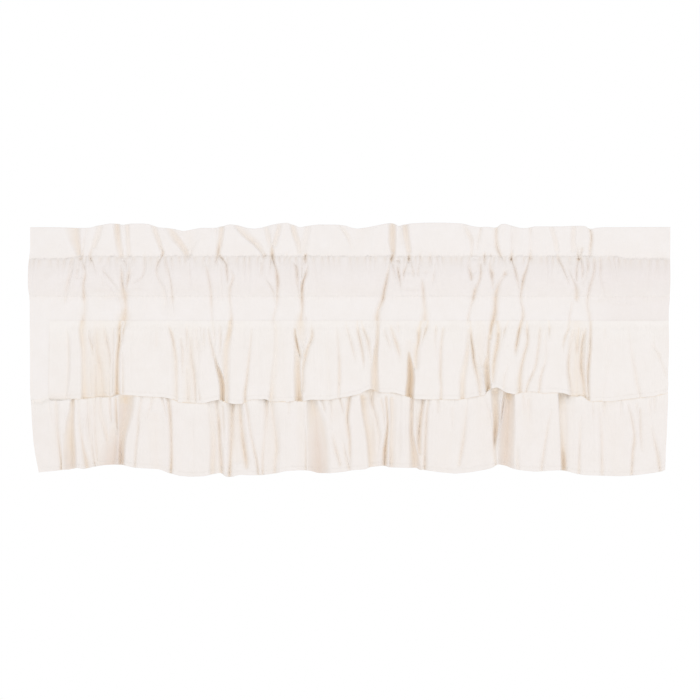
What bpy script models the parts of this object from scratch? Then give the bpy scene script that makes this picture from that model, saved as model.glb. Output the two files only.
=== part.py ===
"""A gathered window valance in cotton: a heading with a rod pocket, a hanging body and two ruffles.

Sizes are in millimetres until a mesh is made. X runs along the valance, Z is up from the mean top edge
and the face of the cloth looks along -Y. A "depth" is how far a point stands in front of the rod's axis.
Every cloth is one grid: its columns follow the folds down the cloth and its rows follow the drop, and
Solidify gives it thickness.
"""

from typing import NamedTuple

import bmesh
import bpy
import numpy as np

NAME = "window_valance"
MM = 0.001

# Cloth
THICKNESS = 1.2
SEWN = 1.5  # middle to middle of two layers sewn together, which leaves 0.3 mm
CLEAR = 2.4  # middle to middle of layers that hang freely
BUTT = 0.3  # between two cloths that meet edge to edge

# Heights, from the mean top edge
HEADER_STITCH = -50.0
POCKET_MIDDLE = -83.0
POCKET_STITCH = -116.0
UPPER_SEAM = -156.0
LOWER_SEAM = -287.0

# Depths of the flat panels between the folds
TOP_PLANE = 8.0
HEADER_PLANE = 7.0
POCKET_PLANE = 25.0
STITCH_PLANE = 9.0
BAND_PLANE = 11.0
BASE_PLANE = 12.0
POCKET_ACROSS = 35.0  # from the pocket's front wall to its back wall, at its middle
TOP_TURN = 1.2  # radius of the turn at the top edge

# Side edges
LEFT_EDGE = -530.0
RIGHT_EDGE = 530.0

PANEL_STEP = 28.0  # about the width of a column on a flat panel
SHARP_FROM = 7.0  # a fold at least this deep has a floor and walls, and a softer one is a trough
ROOM = 0.42  # most of the way to the next fold that a fold's mouth takes


class Fold(NamedTuple):
    """A fold of the hung cloth: where its floor runs, how deep and wide it is, and the panel on its right."""

    top: float  # x at the top edge
    head: float  # x at the header stitch
    rod: float  # x at the middle of the pocket
    foot: float  # x at the pocket's lower stitch
    band: float  # x at the upper ruffle's seam
    base: float  # x at the body's lower edge
    half: float  # half the width of its mouth
    in_head: float  # depth below the panels, in the header
    in_rod: float  # in the pocket
    in_body: float  # in the body
    panel: float  # how far the panel on its right stands forward
    dip: float  # height of the top edge in the fold
    rise: float  # height of the top edge over the panel on its right


class Gather(NamedTuple):
    """A fold of a ruffle, from its seam to its hem, and the panel on its right."""

    seam: float  # x at the seam
    middle: float  # x half way down
    hem: float  # x at the hem
    half: float  # half the width of its mouth
    deep: float  # depth below the panels at the hem
    panel: float  # how far the panel on its right stands forward
    dip: float  # height of the hem in the fold
    rise: float  # height of the hem over the panel on its right


FIRST_FOLD_PANEL = Fold(0, 0, 0, 0, 0, 0, 0, 0, 0, 0, 0, 0, -3.5)
FOLDS = (
    #    top  head   rod  foot  band  base  half in_head in_rod in_body panel dip rise
    Fold(-480, -460, -466, -472, -474, -487, 7, 1, 4, 3, 0, -4, -4),
    Fold(-457, -443, -440, -441, -443, -458, 6, 10, 14, 12, -3, -4.5, -2),
    Fold(-417, -425, -420, -414, -420, -420, 7, 3, 4, 4, -3, -1, 2.5),
    Fold(-386, -379, -375, -373, -373, -380, 6, 8, 14.5, 13, 0, 2, 2.5),
    Fold(-350, -342, -342, -348, -340, -342, 9, 0.5, 3, 1.5, 0, 3, 2.5),
    Fold(-325, -310, -304, -295, -292, -297, 7, 8, 10, 8, -1, -3, -4.5),
    Fold(-278, -274, -268, -262, -260, -258, 9, 6, 3.5, 4, -2, -10, -5),
    Fold(-240, -239, -234, -230, -228, -226, 6, 3, 12, 11, -1, -4.5, -4.5),
    Fold(-215, -217, -203, -200, -197, -181, 6, 9, 10, 8, 0, -3, 1.5),
    Fold(-180, -154, -158, -162, -164, -160, 9, 4, 2.5, 3, 0, -1, -5.5),
    Fold(-128, -129, -121, -123, -124, -128, 7, 14, 15, 12, 1, 1, 3.5),
    Fold(-83, -78, -78, -80, -77, -56, 7, 11, 15, 13, 0, -3.5, 1),
    Fold(-8, 12, 8, 10, 10, 10, 15, 5, 2.5, 5, 0, -4, 0),
    Fold(65, 72, 66, 55, 48, 60, 6, 8, 14.5, 12, 0, 3.5, -2),
    Fold(80, 86, 84, 83, 81, 84, 5, 4, 6, 4, 0, -2, -1),
    Fold(93, 100, 108, 121, 126, 103, 6, 9, 10, 12, 0, 1, 4),
    Fold(205, 204, 206, 204, 198, 193, 7, 10, 14, 9, -1, -2.5, -2.5),
    Fold(243, 247, 246, 242, 238, 240, 6, 7, 15, 14, 0, -4.5, 2.5),
    Fold(268, 269, 274, 281, 285, 266, 6, 8, 12, 14, 0, -1, -4.5),
    Fold(299, 298, 295, 303, 312, 330, 6, 5, 5, 3, 0, -3.5, -2),
    Fold(337, 345, 354, 358, 352, 353, 7, 5, 6, 8, -2, -2, -1),
    Fold(372, 380, 376, 376, 370, 382, 6, 3, 14, 9, -1, -1, -1),
    Fold(396, 401, 403, 394, 395, 410, 6, 9, 9, 8, 0, -6.5, -3.5),
    Fold(440, 426, 428, 432, 450, 465, 9, 1.5, 3, 4, 0, -3.5, -3),
    Fold(490, 490, 490, 493, 496, 502, 9, 1.5, 2, 2.5, 0, -3, -3.5),
)

FIRST_UPPER_PANEL = Gather(0, 0, 0, 0, 0, 0, 0, -289)
UPPER_GATHERS = (
    #      seam middle hem half deep panel dip rise
    Gather(-472, -466, -471, 8, 4, 0, -288, -289),
    Gather(-445, -446, -444, 6, 9, -5, -286, -285),
    Gather(-422, -416, -407, 8, 5, -4, -283, -283),
    Gather(-375, -383, -386, 7, 14, 0, -283, -283),
    Gather(-292, -286, -282, 7, 7, -3, -287, -292),
    Gather(-264, -259, -252, 8, 4.5, -3, -292, -291),
    Gather(-226, -220, -211, 7, 13, 0, -288, -293),
    Gather(-166, -169, -174, 10, 4, 0, -291, -287),
    Gather(-124, -124, -123, 7, 7, 0, -290, -288),
    Gather(-79, -82, -84, 7, 14, 0, -287, -287),
    Gather(-20, -20, -20, 10, 4, 0, -285, -280),
    Gather(12, 24, 32, 9, 5, 0, -275, -269),
    Gather(48, 44, 44, 7, 12, 0, -269, -275),
    Gather(124, 104, 98, 8, 14, 1, -281, -285),
    Gather(160, 154, 150, 12, 3, 0, -286, -285),
    Gather(200, 214, 226, 7, 11, 1, -282, -268),
    Gather(262, 250, 252, 7, 5, 0, -270, -277),
    Gather(290, 287, 282, 7, 9, -1, -277, -275),
    Gather(324, 317, 312, 9, 4.5, -1, -275, -277),
    Gather(372, 380, 387, 7, 12, 1, -281, -290),
    Gather(450, 468, 480, 12, 3.5, 0, -287, -284),
    Gather(498, 506, 513, 8, 2.5, 0, -278, -275),
)

FIRST_LOWER_PANEL = Gather(0, 0, 0, 0, 0, 0, 0, -407)
LOWER_GATHERS = (
    #      seam middle hem half deep panel dip rise
    Gather(-487, -483, -477, 7, 4, 0, -405, -404),
    Gather(-459, -465, -461, 7, 10, -3, -403, -402),
    Gather(-442, -440, -434, 6, 5, -4, -402, -398),
    Gather(-410, -408, -399, 8, 5, -5, -396, -394),
    Gather(-376, -382, -382, 9, 15, 0, -395, -401),
    Gather(-295, -294, -293, 7, 8, -1, -408, -414),
    Gather(-226, -217, -212, 7, 12, 0, -414, -415),
    Gather(-200, -196, -193, 7, 3.5, 0, -413, -411),
    Gather(-177, -172, -166, 7, 9, 0, -412, -413),
    Gather(-133, -124, -118, 8, 7, 0, -411, -405),
    Gather(-56, -53, -50, 13, 13, 0, -409, -408),
    Gather(-8, -6, 0, 9, 5, 0, -405, -401),
    Gather(30, 38, 40, 7, 6, 0, -397, -397),
    Gather(60, 63, 60, 6, 12, 1, -398, -401),
    Gather(102, 105, 110, 7, 11, 0, -402, -403),
    Gather(130, 128, 128, 7, 4, 1, -406, -410),
    Gather(193, 187, 181, 10, 4, 0, -409, -403),
    Gather(238, 241, 243, 6, 11, -1, -396, -396),
    Gather(264, 266, 270, 8, 17, 0, -399, -403),
    Gather(330, 324, 317, 9, 4, 0, -405, -403),
    Gather(353, 355, 358, 7, 10, -2, -404, -408),
    Gather(384, 382, 381, 8, 5, 0, -410, -412),
    Gather(410, 414, 418, 8, 5, 0, -413, -414),
    Gather(466, 474, 473, 9, 5, 0, -412, -409),
    Gather(496, 502, 508, 8, 3, 0, -408, -406),
)

# Place across a fold in halves of its mouth, and share of its depth
SHARP = ((-1.0, 0.0), (-0.55, 0.42), (-0.2, 1.0), (0.2, 1.0), (0.55, 0.42), (1.0, 0.0))
SOFT = ((-1.0, 0.0), (0.0, 1.0), (1.0, 0.0))


def panel_steps(centres, left, right):
    """How many columns each flat panel takes, so that every row of a cloth has the same columns."""
    widths = np.diff(np.concatenate([[left], centres, [right]])) - 12.0
    return np.maximum(1, np.round(widths / PANEL_STEP)).astype(int)


def plan_curve(centres, halves, floors, panels, sharp, steps, left, right):
    """One level of a cloth seen from above, as x and depth for each column.

    Folds go from the panel on their left down to their floor and up to the panel on their right.
    """
    stops = np.concatenate([[left], centres, [right]])
    room = ROOM * np.minimum(stops[1:-1] - stops[:-2], stops[2:] - stops[1:-1])
    halves = np.minimum(halves, room)
    x, depth = [left], [panels[0]]
    for i, centre in enumerate(centres):
        shape = SHARP if sharp[i] else SOFT
        for side, share in shape:
            wall = panels[i] if side < 0 else panels[i + 1]
            place = centre + side * halves[i]
            if side == -1.0:
                between = np.linspace(x[-1], place, steps[i] + 1)[1:-1]
                x.extend(between)
                depth.extend([panels[i]] * len(between))
            x.append(place)
            depth.append(wall + share * (floors[i] - wall))
    between = np.linspace(x[-1], right, steps[-1] + 1)[1:]
    x.extend(between)
    depth.extend([panels[-1]] * len(between))
    return np.array(x), np.array(depth)


def edge_heights(rows, first, x, centres):
    """Height of a cloth's top or hem at each x: each fold's dip and each panel's rise, joined by lines."""
    places, heights = [x[0]], [first.rise]
    for i, row in enumerate(rows):
        places.append(centres[i])
        heights.append(row.dip)
        end = centres[i + 1] if i + 1 < len(rows) else x[-1]
        places.append(centres[i] + 0.5 * (end - centres[i]))
        heights.append(row.rise)
    return np.interp(x, places, heights)


def body_levels():
    """The cloth's plan curve at six heights, as (height, x, depth) from the top edge down."""
    table = np.array(FOLDS)
    forward = np.array([0.0, *table[:, 10]])
    sharp = np.maximum(table[:, 8], table[:, 9]) >= SHARP_FROM
    steps = panel_steps(table[:, 2], LEFT_EDGE, RIGHT_EDGE)
    # height, column of x, column of depth, plane, share of the depth, share of the mouth, left, right
    levels = (
        (0.0, 0, 7, TOP_PLANE, 1.0, 1.5, LEFT_EDGE, RIGHT_EDGE),
        (HEADER_STITCH, 1, 7, HEADER_PLANE, 1.0, 1.0, LEFT_EDGE, RIGHT_EDGE),
        (POCKET_MIDDLE, 2, 8, POCKET_PLANE, 1.0, 1.0, LEFT_EDGE - 2, RIGHT_EDGE),
        (POCKET_STITCH, 3, 9, STITCH_PLANE, 1.0, 1.0, LEFT_EDGE - 1, RIGHT_EDGE - 1),
        (UPPER_SEAM, 4, 9, BAND_PLANE, 1.0, 1.1, LEFT_EDGE, RIGHT_EDGE - 2),
        (LOWER_SEAM, 5, 9, BASE_PLANE, 0.9, 1.3, LEFT_EDGE + 2, RIGHT_EDGE - 4),
    )
    found = []
    for height, at, deep, plane, share, wide, left, right in levels:
        x, depth = plan_curve(
            table[:, at],
            table[:, 6] * wide,
            plane - share * table[:, deep],
            plane + forward,
            sharp,
            steps,
            left,
            right,
        )
        found.append((height, x, depth))
    return found


def at_height(levels, height):
    """A cloth's plan curve at any height, between the two levels around it."""
    heights = [-level[0] for level in levels]
    after = int(np.clip(np.searchsorted(heights, -height), 1, len(levels) - 1))
    (z0, x0, d0), (z1, x1, d1) = levels[after - 1], levels[after]
    share = np.clip((height - z0) / (z1 - z0), 0.0, 1.0)
    return x0 + share * (x1 - x0), d0 + share * (d1 - d0)


def behind(x, depth, gap):
    """A plan curve moved back by gap, square to itself, as a second layer lies behind the first."""
    along_x, along_d = np.gradient(x), np.gradient(depth)
    length = np.hypot(along_x, along_d)
    return x + gap * along_d / length, depth - gap * along_x / length


def resting_on(x, under_x, under_depth, gap):
    """Depth at each column of a cloth that lies on another with gap between them, clear of it all the way."""
    fine = np.linspace(under_x[0], under_x[-1], 2000)
    height = np.interp(fine, under_x, under_depth)
    before = np.concatenate([[x[0]], x[:-1]]) - gap
    after = np.concatenate([x[1:], [x[-1]]]) + gap
    return np.array([height[(fine >= a) & (fine <= b)].max() for a, b in zip(before, after)]) + gap


def sheet(name, rows, colour):
    """An object from rows of (x, depth, height) arrays: a grid of one layer that Solidify thickens."""
    points = np.array([[x, -depth, height] for x, depth, height in rows]).transpose(0, 2, 1) * MM
    mesh = bpy.data.meshes.new(name)
    bm = bmesh.new()
    across, down = points.shape[1] - 1, points.shape[0] - 1
    bmesh.ops.create_grid(bm, x_segments=across, y_segments=down, size=1.0)
    for vertex in bm.verts:
        column = round((vertex.co.x + 1.0) / 2.0 * across)
        row = round((vertex.co.y + 1.0) / 2.0 * down)
        vertex.co = points[row, column]
    bm.to_mesh(mesh)
    bm.free()
    material = bpy.data.materials.new(name)
    material.use_nodes = True
    shader = material.node_tree.nodes["Principled BSDF"]
    shader.inputs["Base Color"].default_value = (*colour, 1.0)
    shader.inputs["Roughness"].default_value = 0.9
    mesh.materials.append(material)
    cloth = bpy.data.objects.new(name, mesh)
    solidify = cloth.modifiers.new("Thickness", "SOLIDIFY")
    solidify.thickness = THICKNESS * MM
    solidify.offset = 0.0
    solidify.use_even_offset = True
    solidify.thickness_clamp = 2.0
    return cloth


def heading():
    """The top of the cloth turned back: header, top edge and the pocket's front and back walls, in one strip."""
    levels = body_levels()
    _, stitch_x, stitch_depth = levels[3]
    # Heights of the pocket's rows, and how far each has opened towards the pocket's middle
    pocket = (
        (POCKET_STITCH, 0.0),
        (-113.5, 0.0),
        (-105.0, 0.6),
        (-92.0, 1.0),
        (-74.0, 1.0),
        (-60.0, 0.6),
        (HEADER_STITCH, 0.0),
    )

    def wall(height, opened, back):
        down = (HEADER_STITCH - height) / (HEADER_STITCH - POCKET_STITCH)
        _, head_x, head_depth = levels[1]
        x, depth = at_height(levels, height)
        sewn_depth = head_depth + down * (stitch_depth - head_depth)
        if not back:
            return x, sewn_depth + opened * (levels[2][2] - sewn_depth), np.full_like(x, height)
        back_x, back_depth = behind(x, sewn_depth, SEWN)
        open_depth = levels[2][2] - POCKET_ACROSS
        return (
            back_x + opened * (x - back_x),
            back_depth + opened * (open_depth - back_depth),
            np.full_like(x, height),
        )

    top_x, top_depth = levels[0][1:]
    centres = np.array(FOLDS)[:, 0]
    top = edge_heights(FOLDS, FIRST_FOLD_PANEL, top_x, centres)
    middle_x, middle_depth = at_height(levels, 0.5 * HEADER_STITCH)
    middle_back = behind(middle_x, middle_depth, 2.0 * TOP_TURN)
    ridge_x, ridge_depth = behind(top_x, top_depth, TOP_TURN)
    far_x, far_depth = behind(top_x, top_depth, 2.0 * TOP_TURN)
    rows = [wall(height, opened, back=False) for height, opened in pocket]
    rows.append((middle_x, middle_depth, 0.5 * HEADER_STITCH + 0.5 * top))
    rows.append((top_x, top_depth, top - TOP_TURN))
    rows.append((ridge_x, ridge_depth, top))
    rows.append((far_x, far_depth, top - TOP_TURN))
    rows.append((*middle_back, 0.5 * HEADER_STITCH + 0.5 * top))
    rows.extend(wall(height, opened, back=True) for height, opened in reversed(pocket) if height != -113.5)
    return sheet("heading", rows, (0.80, 0.76, 0.70))


def body_panel():
    """The cloth below the pocket, down to the lower ruffle's seam."""
    levels = body_levels()
    heights = (POCKET_STITCH - BUTT, -136.0, UPPER_SEAM, -220.0, LOWER_SEAM)
    rows = []
    for height in heights:
        x, depth = at_height(levels, height)
        rows.append((x, depth, np.full_like(x, height)))
    return sheet("body_panel", rows[::-1], (0.82, 0.78, 0.72))


def ruffle_rows(gathers, first, seam, sides, planes, depths, under):
    """A ruffle's rows from its seam to its hem.

    sides holds the two side edges at the seam and at the hem. planes and depths give, for each share of
    the drop, the depth of the panels and the share of each gather's depth. under gives the depth that the
    cloth behind asks for at a share of the drop and the row's x, or leaves the ruffle's own.
    """
    table = np.array(gathers)
    forward = np.array([0.0, *table[:, 5]])
    sharp = table[:, 4] >= SHARP_FROM
    (left, right), (hem_left, hem_right) = sides
    steps = panel_steps(table[:, 1], left, right)
    rows = []
    for share, plane, deep in zip(*planes, depths):
        if share < 0.5:
            centres = table[:, 0] + 2.0 * share * (table[:, 1] - table[:, 0])
        else:
            centres = table[:, 1] + (2.0 * share - 1.0) * (table[:, 2] - table[:, 1])
        x, depth = plan_curve(
            centres,
            table[:, 3] * (0.7 + 0.6 * share),
            plane - deep * table[:, 4],
            plane + share * forward,
            sharp,
            steps,
            left + share * (hem_left - left),
            right + share * (hem_right - right),
        )
        hem = edge_heights(gathers, first, x, centres)
        height = seam + share * (hem - seam)
        rows.append((x, under(share, x, depth, height), height))
    return rows


def upper_ruffle():
    """The first ruffle, sewn on the body's face and hanging clear of it."""
    levels = body_levels()

    def over_body(share, x, depth, height):
        under_x, under_depth = at_height(levels, float(height.mean()))
        gap = SEWN + BUTT if share == 0.0 else CLEAR
        floor = resting_on(x, under_x, under_depth, gap)
        return floor if share == 0.0 else np.maximum(depth, floor)

    planes = ((0.0, 0.2, 0.47, 0.74, 1.0), (13.0, 18.0, 23.0, 26.0, 28.0))
    rows = ruffle_rows(
        UPPER_GATHERS,
        FIRST_UPPER_PANEL,
        UPPER_SEAM,
        ((-498.0, 527.0), (-498.0, 525.0)),
        planes,
        (0.5, 0.65, 0.85, 0.95, 1.0),
        over_body,
    )
    return sheet("upper_ruffle", rows[::-1], (0.84, 0.80, 0.74))


def lower_ruffle():
    """The second ruffle, sewn edge to edge to the body's lower edge."""
    _, base_x, base_depth = body_levels()[-1]

    def from_body(share, x, depth, height):
        return np.interp(x, base_x, base_depth) if share == 0.0 else depth

    planes = ((0.0, 0.2, 0.47, 0.74, 1.0), (12.0, 14.0, 17.5, 20.0, 21.0))
    rows = ruffle_rows(
        LOWER_GATHERS,
        FIRST_LOWER_PANEL,
        LOWER_SEAM - BUTT,
        ((LEFT_EDGE + 2, RIGHT_EDGE - 4), (-517.0, 522.0)),
        planes,
        (0.8, 0.8, 0.9, 0.95, 1.0),
        from_body,
    )
    return sheet("lower_ruffle", rows[::-1], (0.83, 0.79, 0.73))


def main():
    for old in list(bpy.data.objects):
        bpy.data.objects.remove(old)
    collection = bpy.data.collections.new(NAME)
    bpy.context.scene.collection.children.link(collection)
    for make in (heading, body_panel, upper_ruffle, lower_ruffle):
        collection.objects.link(make())


main()
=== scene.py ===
"""Looks of a gathered window valance in washed cotton.

The cloth hangs from its top edge: a heading with a rod pocket, a body, an upper ruffle sewn on the
body's face and a lower ruffle sewn to its lower edge. The CAD frame has X along the width, Z up from the
mean top edge, and the face looking along -Y. A "depth" is how far a point stands in front of the rod's
axis, so y is minus the depth. Lengths are in millimetres, but for meshes, materials and the stage, which
are in metres.

The tables of folds and edges are in the units of a chart of the face: x to the right, y down.
Depths in the tables are millimetres, positive below the panels.
"""

from __future__ import annotations

import sys

import logging
import math
from dataclasses import dataclass, replace
from enum import Enum
from functools import partial
from typing import Callable, NamedTuple

import bpy
import numpy as np
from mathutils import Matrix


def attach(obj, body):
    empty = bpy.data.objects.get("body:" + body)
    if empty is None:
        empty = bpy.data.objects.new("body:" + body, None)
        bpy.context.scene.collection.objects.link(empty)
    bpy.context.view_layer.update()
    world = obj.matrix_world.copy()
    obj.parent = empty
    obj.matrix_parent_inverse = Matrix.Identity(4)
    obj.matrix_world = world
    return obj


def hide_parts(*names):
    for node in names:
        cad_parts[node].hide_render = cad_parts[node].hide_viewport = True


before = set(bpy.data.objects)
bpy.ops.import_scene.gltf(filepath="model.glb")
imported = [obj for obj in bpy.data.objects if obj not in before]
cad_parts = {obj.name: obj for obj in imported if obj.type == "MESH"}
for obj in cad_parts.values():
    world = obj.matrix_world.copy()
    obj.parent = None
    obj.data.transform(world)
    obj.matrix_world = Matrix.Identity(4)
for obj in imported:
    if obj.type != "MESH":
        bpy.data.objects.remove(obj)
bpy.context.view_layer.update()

LOG = logging.getLogger("valance")
MM = 0.001
Array = np.ndarray
Object = bpy.types.Object
Material = bpy.types.Material
Tree = bpy.types.NodeTree
Node = bpy.types.Node
Socket = bpy.types.NodeSocket
Given = Socket | float | tuple[float, ...]
Pairs = tuple[tuple[float, float], ...]
Triple = tuple[float, float, float]

# The chart: millimetres in a unit, and where the valance's middle and mean top edge lie on it
UNIT = 1.66
CHART_MIDDLE = 350.0
CHART_TOP = 226.0

# Heights of the seams and stitches
HEADER_STITCH = -50.5
POCKET_STITCH = -117.0
UPPER_SEAM = -157.0
LOWER_SEAM = -289.5
HEM_STITCH = 6.0  # above a ruffle's hem

# Side edges of the heading and body
LEFT_EDGE = -530.5
RIGHT_EDGE = 530.5

SEWN_GAP = 0.35  # between two cloths at the seam that joins them
RUFFLE_GAP = 1.4  # between the two ruffles where one hangs over the other
FULL_FOLD_SHADE = 13.0  # fold shade at which a fold has all of its painted warm shade
OUT_OF_REACH = 40.0  # a depth that no cloth comes to


# ---- Folds and edges, as charted -----


class Wall(Enum):
    """How a fold's wall runs from the panel down to the fold's floor."""

    CREASE = 1  # sharp floor, tangent to the panel
    FACET = 2  # nearly straight
    TRENCH = 3  # wide level floor
    RIDGE = 4  # a round ridge, which stands up


# Share of each kind of fold's depth that goes into the painted shade in folds
FOLD_SHADE_SHARE = {Wall.CREASE: 1.0, Wall.FACET: 0.9, Wall.TRENCH: 0.75}


class Line(NamedTuple):
    """A fold along the cloth, as knots of x, y, depth, left run and right run, from the top down."""

    wall: Wall
    knots: tuple[tuple[float, ...], ...]


class Dent(NamedTuple):
    """A short fold that lies across the cloth."""

    x: float
    y: float
    half_length: float
    half_width: float
    degrees: float  # up to the right
    depth: float


Lines = tuple[Line, ...]


def line_of(wall: Wall, runs: float | tuple[float, float], *knots: tuple[float, ...]) -> Line:
    """A line whose knots may leave out their runs, which are then the line's own.

    Args:
        wall: How the fold's walls run.
        runs: The left run and the right run, or one number for both.
        *knots: Knots of x, y and depth, and of runs in the same two ways where they differ.

    Returns:
        The line, with all five numbers in each knot.
    """
    common = runs if isinstance(runs, tuple) else (runs,)
    own = [knot[3:] or common for knot in knots]
    return Line(wall, tuple(knot[:3] + (run[0], run[-1]) for knot, run in zip(knots, own)))


crease = partial(line_of, Wall.CREASE)
facet = partial(line_of, Wall.FACET)
trench = partial(line_of, Wall.TRENCH)
ridge = partial(line_of, Wall.RIDGE)


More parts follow.
